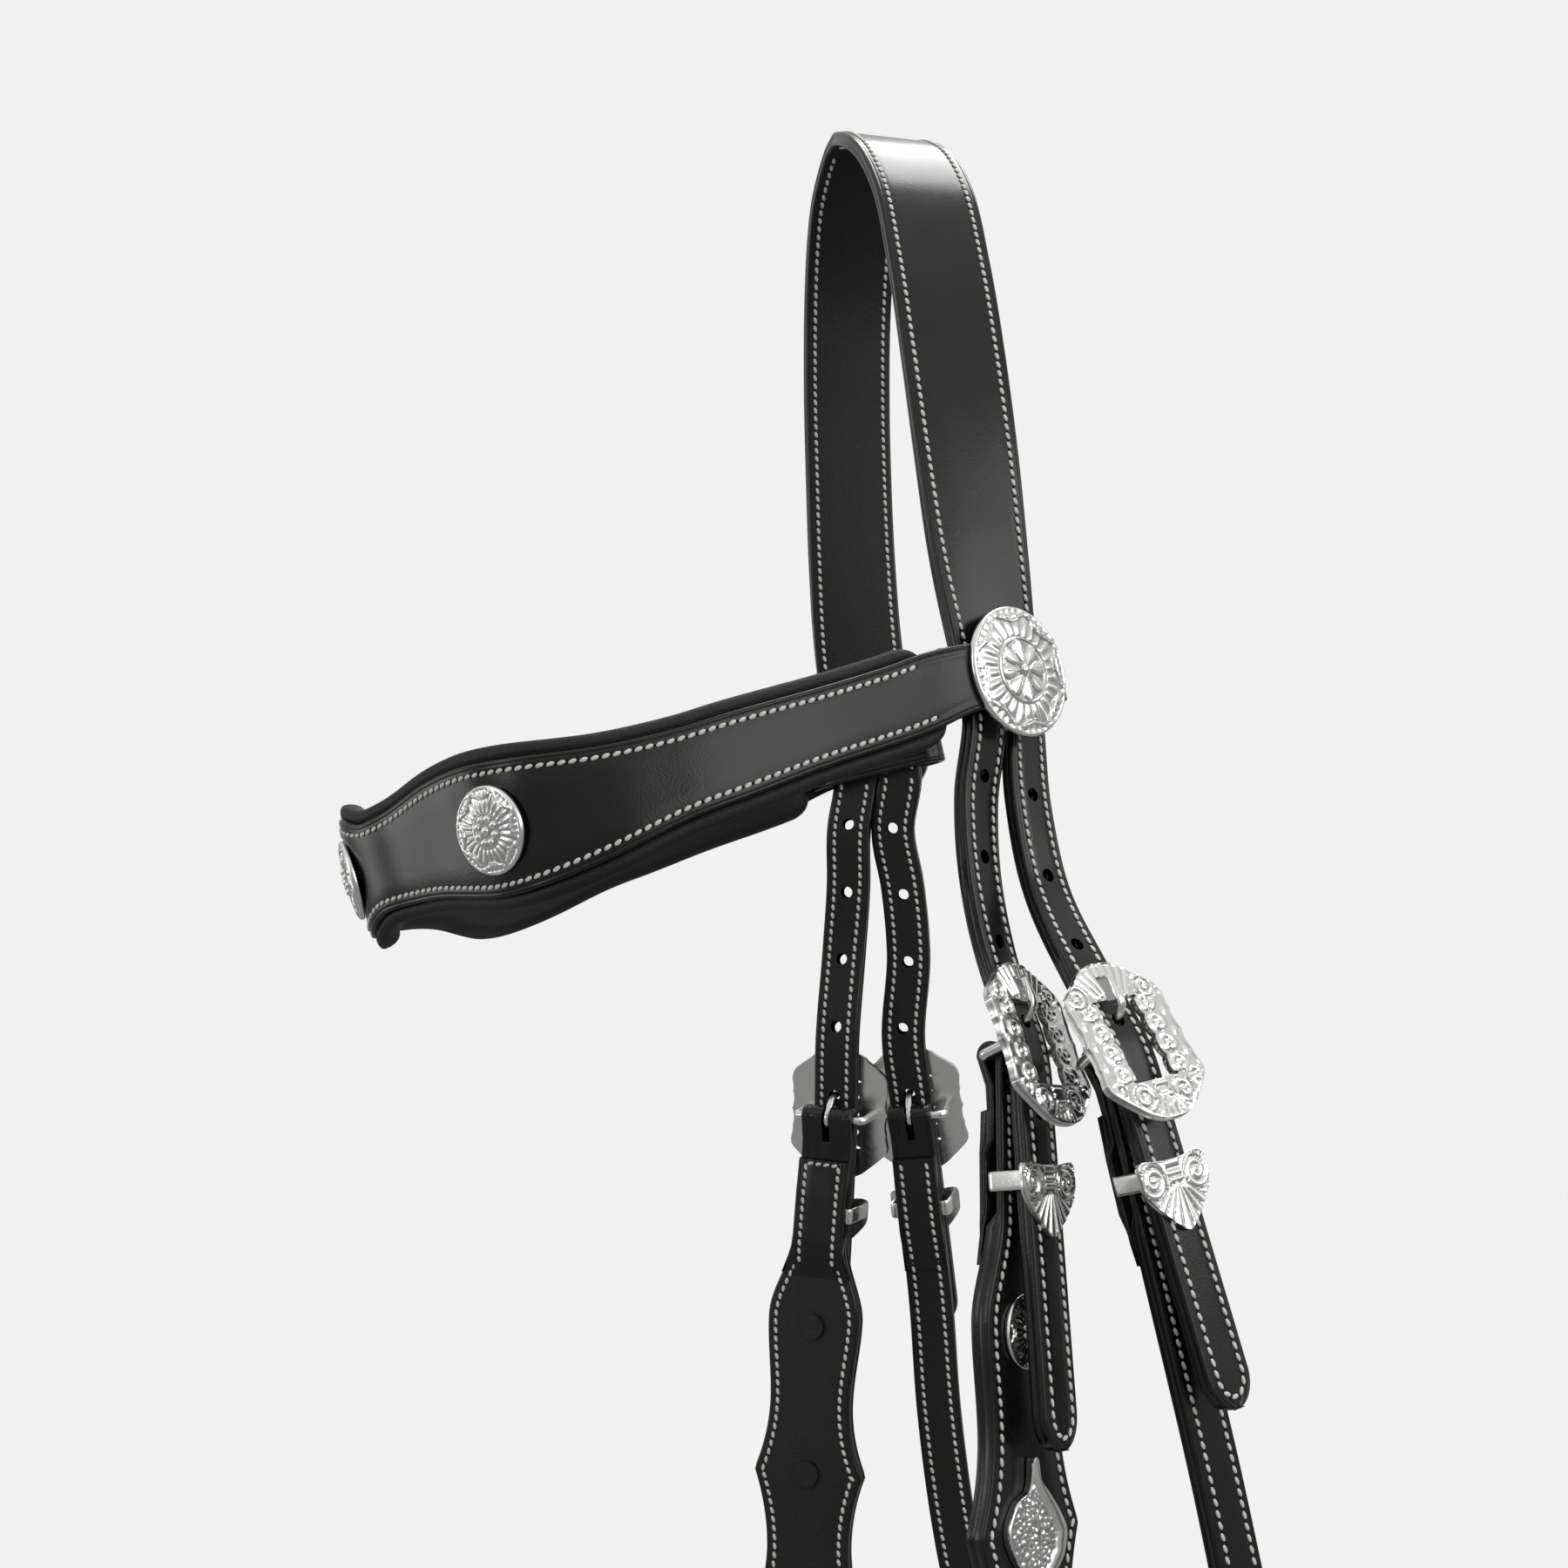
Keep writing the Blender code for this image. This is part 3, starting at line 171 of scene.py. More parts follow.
# Each panel: the direction it is seen in from the bridle's middle, its distance, size and radiance.
MIDDLE = Vector((0.0, 0.0, -0.25))
for name, azimuth, elevation, distance, width, height, radiance in (
    ("strip_beside_camera", 16, 12, 1.6, 0.70, 1.00, 1.7),
    ("wide_panel_behind", 50, 18, 1.6, 0.95, 0.62, 1.8),
    ("overhead_panel", 120, 74, 1.3, 0.7, 0.7, 7.0),
    ("front_panel", -75, 14, 1.6, 0.5, 0.9, 1.6),
    ("far_side_panel", -112, -4, 1.6, 0.5, 0.6, 1.6),
    ("rear_panel", 165, 15, 1.6, 0.8, 0.8, 1.2),
):
    panel = linked(name, bpy.data.lights.new(name, "AREA"))
    panel.data.shape = "RECTANGLE"
    panel.data.size, panel.data.size_y = width, height
    panel.data.energy = radiance * math.pi * width * height
    level, rising = on_circle(elevation)
    across, along = on_circle(azimuth)
    way = Vector((level * across, level * along, rising))
    panel.location = MIDDLE + way * distance
    panel.rotation_euler = (-way).to_track_quat("-Z", "Y").to_euler()
print("lights", len(bpy.data.lights))

# %% [markdown]
# ## The line each strap follows
# A strap keeps its width and thickness and bends only along its length, so its shape is a line
# through space with the direction across the strap at each place. The line eases through a few
# points measured on the bridle. These are the same points as in the plain model, so every fine
# piece lies exactly where its solid is.

# %% Main sizes of the bridle
HALF_SPREAD, FORE_AFT, DROP = 0.100, 0.100, 0.400
FIT_GAP = 0.0003
STRAP, SLIT, CROWN_WIDTH = 0.0048, 0.001, 0.033
BILLET_WIDTH = (CROWN_WIDTH - SLIT) / 2
BILLET_LENGTH, BILLET_TIP, POLL_FLAT = 0.208, 0.009, 0.008
BAR_RADIUS, LOOP_LEATHER = 0.0015, 0.0026
LOOP_INNER = BAR_RADIUS + FIT_GAP
LOOP_OUTER = LOOP_INNER + LOOP_LEATHER
BILLET_RIDE = LOOP_OUTER + FIT_GAP + STRAP / 2
BAR_SETBACK = BILLET_RIDE + STRAP / 2 + FIT_GAP
FRAME_HEIGHT, OPENING_HEIGHT, KEEPER_DROP = 0.0483, 0.025, 0.034
LEFT, RIGHT = 1, -1
HANDS = (("left", LEFT), ("right", RIGHT))
FITTINGS = [(f"{hand}_{where}", where, side) for hand, side in HANDS for where in ("front", "rear")]
print("in mm: billet", round(BILLET_WIDTH * 1000, 1), "its height over the bar", round(BILLET_RIDE * 1000, 1))


# %% A place on a strap
class Station:
    """A place on a course: its point and the directions along, across and out of the strap."""

    def __init__(self, point, along, across, side):
        self.point = point
        self.along = along.normalized()
        self.across = (across - self.along * across.dot(self.along)).normalized()
        self.out = side * self.along.cross(self.across)

    def offset(self, across, out=0.0, down=0.0):
        return self.point + self.across * across + self.out * out + self.along * down


upright = Station(Vector(), Vector((0, 0, -1)), Vector((0, 1, 0)), LEFT)
print("outwards on the left side", tuple(upright.out))


# %% The course of a strap
class Course:
    """Samples of a smooth line, each a point and the direction across the strap."""

    def __init__(self, samples, side):
        self.samples, self.side = samples, side
        self.distances = [0.0]
        for before, after in zip(samples, samples[1:]):
            self.distances.append(self.distances[-1] + (after[0] - before[0]).length)
        self.length = self.distances[-1]
        last = len(samples) - 1
        self.ways = [
            (samples[min(index + 1, last)][0] - samples[max(index - 1, 0)][0]).normalized()
            for index in range(last + 1)
        ]

    def at(self, distance):
        low, high = 0, len(self.distances) - 1
        while high - low > 1:
            middle = (low + high) // 2
            low, high = (middle, high) if self.distances[middle] < distance else (low, middle)
        share = (distance - self.distances[low]) / (self.distances[high] - self.distances[low])
        before, after = self.samples[low], self.samples[high]
        way = self.ways[low].lerp(self.ways[high], min(max(share, 0), 1))
        return Station(before[0].lerp(after[0], share), way, before[1].lerp(after[1], share), self.side)

    def nearest(self, place):
        pairs = zip(self.samples, self.distances)
        return min(pairs, key=lambda pair: (pair[0][0] - place).length)[1]


# %% A smooth course through a few knots
KNOT_STEPS, ROUNDING = 12, 1e-6


def eased(knots, side):
    """A course through knots, its slopes set by the neighbours of each knot."""
    steps = [(after[0] - before[0]).length for before, after in zip(knots, knots[1:])]

    def slopes(kind):
        values = [entry[kind] for entry in knots]
        rates = [(after - before) / step for before, after, step in zip(values, values[1:], steps)]
        inner = [
            (rates[i] * steps[i + 1] + rates[i + 1] * steps[i]) / (steps[i] + steps[i + 1])
            for i in range(len(rates) - 1)
        ]
        return [rates[0], *inner, rates[-1]]

    sides = [slopes(0), slopes(1)]
    samples = []
    for index, step in enumerate(steps):
        for count in range(KNOT_STEPS + (index == len(steps) - 1)):
            t = count / KNOT_STEPS
            sample = []
            for kind in (0, 1):
                start, end = knots[index][kind], knots[index + 1][kind]
                leaving, arriving = sides[kind][index] * step, sides[kind][index + 1] * step
                sample.append(
                    start * (2 * t ** 3 - 3 * t * t + 1) + leaving * (t ** 3 - 2 * t * t + t)
                    + end * (3 * t * t - 2 * t ** 3) + arriving * (t ** 3 - t * t)
                )
            samples.append(tuple(sample))
    return Course(samples, side)


def spread(start, end, step):
    """Even distances from start to end, no more than a step apart."""
    count = max(1, math.ceil((end - start) / step - ROUNDING))
    return [start + (end - start) * index / count for index in range(count + 1)]


def knot(shares, side):
    """A knot from sideways, backwards and downwards shares and the angle of the outer face."""
    sideways, back, down, angle = shares
    point = Vector((side * sideways * HALF_SPREAD, back * FORE_AFT, STRAP / 2 - down * DROP))
    across, backwards = on_circle(angle)
    return point, Vector((side * across, backwards, 0.0))


# %% Seats for the fittings
class Seat:
    """A fitting's own frame: across, up and out of the strap, and its matrix."""

    def __init__(self, point, across, up, side):
        self.point, self.side, self.up = point, side, up.normalized()
        self.across = (across - self.up * across.dot(self.up)).normalized()
        self.out = side * self.across.cross(self.up)

    def tilted(self, angle):
        up = self.up * math.cos(angle) - self.out * math.sin(angle)
        return Seat(self.point, self.across, up, self.side)

    def place(self, across, up, out):
        return self.point + self.across * across + self.up * up + self.out * out

    def matrix(self):
        turn = Matrix((self.side * self.across, self.up, self.out)).transposed()
        return Matrix.Translation(self.point) @ turn.to_4x4()


def seat_on(course, distance, height=LOOP_OUTER):
    """The seat of an ornament on the outer face of a strap."""
    station = course.at(distance)
    return Seat(station.offset(0, height), station.across, -station.along, course.side)


bar_shares = {
    ("front", LEFT): (0.790, 0.130, 0.787, 126, 0.06, -0.03, 21),
    ("rear", LEFT): (0.880, 0.406, 0.787, 110, 0.07, 0.20, 21),
    ("front", RIGHT): (0.735, 0.022, 0.8425, 126, 0.05, -0.07, 10),
    ("rear", RIGHT): (0.785, 0.346, 0.8425, 118, 0.05, 0.12, 10),
}
BILLET_LEAN = math.atan2(0.0028, 0.1015 / 2 - 0.010)


def bar_seat(where, side):
    sideways, back, down, angle, outwards, backwards, _ = bar_shares[where, side]
    point, across = knot((sideways, back, down, angle), side)
    return Seat(point, across, Vector((-side * outwards, -backwards, 1.0)), side)


def buckle_seat(where, side):
    return bar_seat(where, side).tilted(math.radians(bar_shares[where, side][6]))


def keeper_seat(where, side):
    seat = bar_seat(where, side).tilted(BILLET_LEAN)
    return Seat(seat.place(0, -KEEPER_DROP, 0), seat.across, seat.up, side)


for hand, side in HANDS:
    print(hand, "front bar at", [round(value, 4) for value in buckle_seat("front", side).point])

# %% Courses of the crown strap and its four billets
crown_shares = [
    (0.112, -0.003, 0.0080, 89), (0.213, -0.003, 0.0230, 88), (0.319, 0.008, 0.0455, 87),
    (0.437, 0.027, 0.0880, 87), (0.538, 0.049, 0.1670, 87), (0.597, 0.071, 0.2490, 87),
    (0.637, 0.094, 0.3310, 91), (0.656, 0.123, 0.4140, 100), (0.656, 0.151, 0.4650, 109),
    (0.650, 0.178, 0.5050, 116), (0.650, 0.192, 0.5300, 118),
]
billet_shares = {
    ("front", LEFT): [(0.700, 0.084, 0.600, 122), (0.735, 0.078, 0.655, 125)],
    ("rear", LEFT): [(0.660, 0.262, 0.600, 115), (0.690, 0.295, 0.660, 112)],
    ("front", RIGHT): [(0.690, 0.090, 0.580, 117), (0.720, 0.096, 0.630, 119), (0.755, 0.088, 0.690, 124)],
    ("rear", RIGHT): [(0.655, 0.250, 0.580, 115), (0.680, 0.293, 0.630, 114), (0.715, 0.325, 0.690, 116)],
}


def poll_edge(side):
    return Vector((side * POLL_FLAT / 2, 0.0, STRAP / 2))


def crown_course(side):
    start = poll_edge(side)
    level = Vector((0.0, 1.0, 0.0))
    knots = [(start - Vector((side * POLL_FLAT, 0.0, 0.0)), level), (start, level)]
    return eased(knots + [knot(shares, side) for shares in crown_shares], side)


def billet_course(where, side, crown):
    """From the slit through the buckle and the keeper to past the billet's tip."""
    shift = (BILLET_WIDTH + SLIT) / 2 * (-1 if where == "front" else 1)
    knots = []
    for distance in (crown.length - CROWN_WIDTH / 2, crown.length):
        station = crown.at(distance)
        knots.append((station.offset(shift), station.across))
    slit = knots[-1][0]
    knots += [knot(shares, side) for shares in billet_shares[where, side]]
    upper = buckle_seat(where, side)
    lower = bar_seat(where, side).tilted(BILLET_LEAN)
    ups = (FRAME_HEIGHT / 2, OPENING_HEIGHT / 2, LOOP_INNER)
    knots += [(upper.place(0, up, BILLET_RIDE), upper.across) for up in ups]
    downs = (LOOP_INNER, KEEPER_DROP / 2, KEEPER_DROP, 2 * KEEPER_DROP, BILLET_LENGTH / 2)
    knots += [(lower.place(0, -down, BILLET_RIDE), lower.across) for down in downs]
    course = eased(knots, side)
    return course, course.nearest(slit)


crowns = {side: crown_course(side) for side in (LEFT, RIGHT)}
print("from the poll to the slit", round(crowns[LEFT].length * 1000, 1), "mm")

# %% [markdown]
# ## Leather, thread and silver
# Bridle leather is dyed through and polished on its outer face, so it is nearly black with a soft
# sheen, fine grain and faint cloudy patches. Its flesh side is matt. The finishes are made before
# the pieces, so that each piece can take one as it is made.


# %% What the finishes share
def texture(tree, kind, output, values, settings=None):
    """A procedural texture in the piece's own coordinates, as the output that is read."""
    place = add_node(tree, "ShaderNodeTexCoord").outputs["Object"]
    return add_node(tree, kind, settings, values, {"Vector": place}).outputs[output]


def finish(name, tone_of, colours, grain=None, roughness=None, **constants):
    """A finish: a colour between two, a roughness that may wander, and a grain in relief.

    The grain is (source, strength, depth), the wandering roughness (source, lowest, highest).
    Each source is a function that makes its own texture in the material's tree.
    """
    material, tree, shader = blank_material(name)
    made = {}

    def source(function):
        if function not in made:
            made[function] = function(tree)
        return made[function]

    tone = add_node(tree, "ShaderNodeValToRGB", links={"Fac": source(tone_of)})
    for element, colour in zip(tone.color_ramp.elements, colours):
        element.color = paint(colour)
    tree.links.new(tone.outputs["Color"], shader.inputs["Base Color"])
    if roughness:
        wander, low, high = roughness
        ends = {"To Min": low, "To Max": high}
        span = add_node(tree, "ShaderNodeMapRange", values=ends, links={"Value": source(wander)})
        tree.links.new(span.outputs["Result"], shader.inputs["Roughness"])
    if grain:
        height, strength, depth = grain
        deep = {"Strength": strength, "Distance": depth}
        bump = add_node(tree, "ShaderNodeBump", values=deep, links={"Height": source(height)})
        tree.links.new(bump.outputs["Normal"], shader.inputs["Normal"])
    for socket, value in constants.items():
        shader.inputs[socket].default_value = value
    return material


def noise_at(scale, detail=2.0):
    return lambda tree: texture(tree, "ShaderNodeTexNoise", "Fac", {"Scale": scale, "Detail": detail})


def cells_at(scale, feature="F1"):
    way = {"feature": feature}
    return lambda tree: texture(tree, "ShaderNodeTexVoronoi", "Distance", {"Scale": scale}, way)


# %% Leather, thread and needle holes
# Bridle leather, dyed black, waxed and burnished: a smooth clear sheen broken by fine grain.
clouds = noise_at(60.0, 3.0)
pores = cells_at(1600.0)
waxed_leather = finish("waxed_black_bridle_leather", clouds, ("0b0b0c", "19191a"), (pores, 0.10, 0.0002),
                       (clouds, 0.17, 0.32), IOR=1.5)

# The flesh side and the soft lining: the same dye with no polish, and a coarser open grain.
open_grain = cells_at(900.0, "SMOOTH_F1")
lining_leather = finish("matt_black_lining_leather", open_grain, ("0c0c0d", "1b1b1c"),
                        (open_grain, 0.35, 0.0003), Roughness=0.62, IOR=1.5)

# Linen thread, twisted and waxed: off-white, with a twist about every half millimetre.
twist = noise_at(2200.0)
white_thread = finish("waxed_linen_thread", twist, ("c9c7c0", "f6f4ee"), (twist, 0.4, 0.0001), Roughness=0.55)

# Painted shade for the inside of a needle hole: a near-black colour with no sheen, on a small oval.
needle_hole_shade = finish("painted_needle_hole_shade", noise_at(1500.0), ("010101", "070707"), Roughness=0.95)


# %% Cast silver
def painted_recess_shade(tree):
    """How much painted shade a point takes in the relief's recesses, as its piece's own attribute says."""
    return add_node(tree, "ShaderNodeAttribute", {"attribute_name": "recess_shade"}).outputs["Fac"]


def silver_finish(name, light, dark, smooth, rough):
    """Cast nickel silver, polished, with painted shade darkening the recesses of its relief."""
    wear = noise_at(700.0, 4.0)
    tones, bump, gloss = (light, dark), (wear, 0.15, 0.0002), (wear, smooth, rough)
    return finish(name, painted_recess_shade, tones, bump, gloss, Metallic=1.0)


# Both silvers run from their light colour on high relief to their dark colour in the recesses; the dark end
# is painted shade.
cast_silver = silver_finish("polished_cast_nickel_silver", "fafaf8", "a0a0a0", 0.16, 0.30)
plain_silver = silver_finish("tumbled_nickel_silver_back", "c4c4c2", "6a6a6a", 0.28, 0.45)
print("finishes", [material.name for material in (waxed_leather, lining_leather, white_thread, cast_silver)])

# %% [markdown]
# ## A strap from a grid
# A strap's section is a rectangle with rounded, burnished edges, a crease pressed along each edge
# of the outer face, a shallow channel that the stitches lie in, and a fine line round the edge
# where its two layers are glued. Rolling a grid round that section, one row of the grid at each
# place along the course, keeps all of these lines running the whole length of the strap.

# %% The section of a strap
CORNER, CREASE_IN, CHANNEL_IN = 0.0009, 0.0014, 0.0032
CREASE_HALF, CHANNEL_HALF, DENT, GLUE_LINE = 0.0003, 0.0005, 0.00012, 0.00015
STEEPEST, SHORTEST_RUN = 1.3, 0.0004


def section(half, thickness, lean=1.0):
    """Points round a strap's section: across the strap, and the height from back 0 to front 1."""
    crease, channel = CREASE_IN * lean, CHANNEL_IN * lean
    dent = DENT / thickness
    flat = half - CORNER
    beside_channel = half - channel - CHANNEL_HALF
    right = [(0.0, 1.0), (beside_channel * 0.55, 1.0), (beside_channel, 1.0)]
    right += [(half - channel, 1.0 - dent), (half - channel + CHANNEL_HALF, 1.0)]
    right += [(half - crease - CREASE_HALF, 1.0), (half - crease, 1.0 - dent)]
    right += [(half - crease + CREASE_HALF, 1.0)]
    right = [(min(x, flat), share) for x, share in right]
    rounding = CORNER / thickness
    for degrees in (0, 25, 50, 75, 90):
        up, out = on_circle(degrees)
        right.append((flat + CORNER * out, 1.0 - rounding * (1 - up)))
    right += [(half, 0.56), (half - GLUE_LINE, 0.50), (half, 0.44)]
    for degrees in (90, 60, 30, 0):
        up, out = on_circle(degrees)
        right.append((flat + CORNER * out, rounding * (1 - up)))
    right += [((half - channel) * 0.5, 0.0), (0.0, 0.0)]
    left = [(-x, share) for x, share in reversed(right[1:-1])]
    backs = {index for index, (_, share) in enumerate(right + left) if share == 0.0}
    return right + left, backs


print("points round a section", len(section(0.008, STRAP)[0]))


# %% Roll a grid round the section, row by row
def rolled_strap(rows):
    """A closed strap through rows of (station, half width, outer level, inner level).

    A level is a height over the course, or a height and a rise where the strap folds.
    """
    rings = []
    for index, (station, half, *levels) in enumerate(rows):
        outer, inner = (level if isinstance(level, tuple) else (level, 0.0) for level in levels)
        after, before = rows[min(index + 1, len(rows) - 1)], rows[max(index - 1, 0)]
        run = (after[0].point - before[0].point).length
        lean = math.hypot(1.0, (after[1] - before[1]) / run) if run > SHORTEST_RUN else 1.0
        ring, backs = section(half, math.dist(outer, inner), min(lean, STEEPEST))
        points = []
        for across, share in ring:
            out, up = (low * (1 - share) + high * share for low, high in zip(inner, outer))
            points.append(station.offset(across, out, -up))
        rings.append(points)
    return rolled_grid(rings, backs)


def rolled_grid(rings, backs=None, shut=True):
    """Roll a grid so that each of its rows follows one ring of points, and close its ends."""
    shape = bmesh.new()
    columns, count = len(rings[0]), len(rings)
    made = bmesh.ops.create_grid(shape, x_segments=columns, y_segments=count - 1, size=1.0)
    rolled = {}
    for vert in made["verts"]:
        column = round((vert.co.x + 1) / 2 * columns)
        row = round((vert.co.y + 1) / 2 * (count - 1))
        vert.co = rings[row][column % columns]
        rolled.setdefault((row, column % columns), []).append(vert)
    if backs:
        back_verts = {vert for (row, column), pair in rolled.items() if column in backs for vert in pair}
        for face in shape.faces:
            face.material_index = int(all(vert in back_verts for vert in face.verts))
    seam = {pair[1]: pair[0] for pair in rolled.values() if len(pair) == 2}
    bmesh.ops.weld_verts(shape, targetmap=seam)
    if shut:
        bmesh.ops.holes_fill(shape, edges=[edge for edge in shape.edges if edge.is_boundary], sides=0)
    bmesh.ops.recalc_face_normals(shape, faces=shape.faces)
    return shape


def finished(name, shape, body, looks, replaces=(), sharp=35):
    """Turn a bmesh into a piece at the origin that rides on a body and takes its looks."""
    piece = linked(name, as_mesh(name, shape))
    mesh = piece.data
    for look in looks:
        mesh.materials.append(look)
    mesh.shade_smooth()
    mesh.set_sharp_from_angle(angle=math.radians(sharp))
    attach(piece, body)
    if replaces:
        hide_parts(*replaces)
    print(name, len(mesh.vertices), "vertices,", len(mesh.polygons), "faces")
    return piece


def leather_piece(name, shape, body, node):
    """A piece of bridle leather, polished outside and matt on its flesh side."""
    finished(name, shape, body, (waxed_leather, lining_leather), [node])


# %% [markdown]
# ## Stitches
# Saddle stitches are short fat ovals of waxed thread, about eight to the inch, each leaning a
# little across the line, with a small near-black oval between them as painted shade for the needle
# hole. There are thousands, so each one is an oval of thirty-five faces, a copy of one template set
# in its place by its own matrix.

# %% Sewing along a line
PITCH, STITCH_LONG, STITCH_WIDE, STITCH_HIGH, SLANT = 0.0030, 0.00245, 0.00130, 0.00090, 16.0
NEEDLE_MARK, STITCH_SUNK, MARK_STEP = (0.00116, 0.00084, 0.00016), 0.18, 0.002


def stepped(points):
    """Even steps along a line of (point, normal): the place, the way along and the normal."""
    gaps = [(b[0] - a[0]).length for a, b in zip(points, points[1:])]
    total = sum(gaps)
    count = max(1, round(total / PITCH))
    places, index, passed = [], 0, 0.0
    for number in range(count):
        goal = (number + 0.5) * total / count
        while passed + gaps[index] < goal and index < len(gaps) - 1:
            passed += gaps[index]
            index += 1
        share = (goal - passed) / gaps[index]
        before, after = points[index], points[index + 1]
        normal = before[1].lerp(after[1], share).normalized()
        places.append((before[0].lerp(after[0], share), (after[0] - before[0]).normalized(), normal))
    return places


def template(name, segments, rings, size, look):
    """One oval, lying along X, as a mesh to copy."""
    shape = bmesh.new()
    lying = Matrix.Diagonal((*size, 1)) @ Matrix.Rotation(math.pi / 2, 4, "Y")
    bmesh.ops.create_uvsphere(shape, u_segments=segments, v_segments=rings, radius=0.5, matrix=lying)
    for face in shape.faces:
        face.material_index = look
    return as_mesh(name, shape)


print("stitches to 100 mm", round(0.1 / PITCH))
stitch = template("stitch", 7, 5, (STITCH_LONG, STITCH_WIDE, STITCH_HIGH), 0)
# The needle hole is not cut: a near-black oval stands for its painted shade.
needle_shade_mark = template("needle_shade_mark", 6, 4, NEEDLE_MARK, 1)


def copy_in(shape, mesh, matrix):
    """Add a moved copy of a small mesh to a bmesh."""
    part = mesh.copy()
    part.transform(matrix)
    shape.from_mesh(part)
    bpy.data.meshes.remove(part)


# %% Thread ovals along whole seams
def sewn(name, lines, body):
    """One piece of thread ovals and dark ovals of painted needle-hole shade along several lines."""
    shape = bmesh.new()
    slant = Matrix.Rotation(math.radians(SLANT), 4, "Z")
    slant = Matrix.Translation((0, 0, STITCH_HIGH * STITCH_SUNK)) @ slant
    for line in lines:
        for place, along, normal in stepped(line):
            along = (along - normal * along.dot(normal)).normalized()
            turn = Matrix((along, normal.cross(along), normal)).transposed().to_4x4()
            copy_in(shape, stitch, Matrix.Translation(place) @ turn @ slant)
            # A dark oval of painted shade where the needle hole lies.
            copy_in(shape, needle_shade_mark, Matrix.Translation(place + along * PITCH / 2) @ turn)
    finished(name, shape, body, (white_thread, needle_hole_shade), sharp=80)


def line_on(course, marks, height, flip=1):
    """Points over a strap's face from (distance, across) marks, with the face's normal."""
    stations = [(course.at(distance), across) for distance, across in marks]
    return [(station.offset(across, height), station.out * flip) for station, across in stations]


def straight_marks(start, end, across):
    return [(distance, across) for distance in spread(start, end, MARK_STEP)]


print("marks along 100 mm", len(straight_marks(0.0, 0.1, 0.0)))

# %% [markdown]
# ## Headpiece
# The crown strap is split below the browband loop into two billets on each side. It is made as
# two long half straps, front and rear, that run over the poll from one billet's tip to the
# other's. In the crown their inner edges meet exactly and are merged, so the split opens just
# where the real one does.


# %% Half straps from tip to tip
HALF_STRAP_STEP, TIP_HALF, MERGE, SEAM_GAP = 0.0025, 0.0013, 0.00002, 0.0015
SQUARE_EDGE = CHANNEL_IN + 0.0006


def billet_stations(where, side, crown):
    """Stations from the slit to the tip, with the half width at each."""
    course, start = billet_course(where, side, crown)
    end = start + BILLET_LENGTH
    half = BILLET_WIDTH / 2
    rows = [(course.at(d), half) for d in spread(start, end - BILLET_TIP, HALF_STRAP_STEP)[1:]]
    for degrees in range(6, 91, 7):
        narrow, far = on_circle(degrees)
        rows.append((course.at(end - BILLET_TIP * (1 - far)), max(half * narrow, TIP_HALF)))
    return rows, course, start


billets = {}
half_straps = {}
crown_starts = {side: crowns[side].nearest(poll_edge(side)) for side in (LEFT, RIGHT)}
for where, shift in (("front", -1), ("rear", 1)):
    middle = shift * CROWN_WIDTH / 4
    runs = {}
    for side in (LEFT, RIGHT):
        crown = crowns[side]
        upper = [crown.at(d) for d in spread(crown_starts[side], crown.length, HALF_STRAP_STEP)]
        lower, course, start = billet_stations(where, side, crown)
        billets[where, side] = (course, start)
        runs[side] = [(station, middle, CROWN_WIDTH / 4) for station in upper]
        runs[side] += [(station, 0.0, half) for station, half in lower]
    half_straps[where] = runs[RIGHT][::-1] + runs[LEFT]
    print(where, "half strap", len(half_straps[where]), "rows")


# %% Roll the two half straps and merge them along the crown
def half_strap(where):
    """One half strap. Where it is crown, its inner edge is square and lies on the middle line."""
    rings = []
    inner_side = 1 if where == "front" else -1
    for station, shift, half in half_straps[where]:
        ring, backs = section(half, STRAP)
        points = []
        for across, share in ring:
            if shift and across * inner_side > half - SQUARE_EDGE:
                across = half * inner_side
                share = 1.0 if share > 0.5 else 0.0
            points.append(station.offset(across + shift, (share - 0.5) * STRAP))
        rings.append(points)
    return rolled_grid(rings, backs)


def beside(shape, other):
    """Add another shape to a shape, as parts of one piece."""
    mesh = as_mesh("added", other)
    shape.from_mesh(mesh)
    bpy.data.meshes.remove(mesh)
    return shape


headpiece = beside(half_strap("front"), half_strap("rear"))
bmesh.ops.remove_doubles(headpiece, verts=headpiece.verts, dist=MERGE)
inner_walls = [face for face in headpiece.faces if sum(len(edge.link_faces) > 2 for edge in face.edges) >= 2]
bmesh.ops.delete(headpiece, geom=inner_walls, context="FACES")
open_edges = sum(len(edge.link_faces) != 2 for edge in headpiece.edges)
print("inner walls taken out", len(inner_walls), "open edges", open_edges)


# %% Punch holes and slots through leather
def subtracted(shape, tool):
    """The leather with a closed shape punched out of it, both given and returned as bmesh."""
    pair = []
    for part in (shape, tool):
        bmesh.ops.recalc_face_normals(part, faces=part.faces)
        pair.append(linked("punching", as_mesh("punching", part)))
    step = pair[0].modifiers.new("punch", "BOOLEAN")
    step.operation, step.solver, step.object = "DIFFERENCE", "EXACT", pair[1]
    result = bmesh.new()
    result.from_object(pair[0], bpy.context.evaluated_depsgraph_get())
    for piece in pair:
        mesh = piece.data
        bpy.data.objects.remove(piece)
        bpy.data.meshes.remove(mesh)
    return result


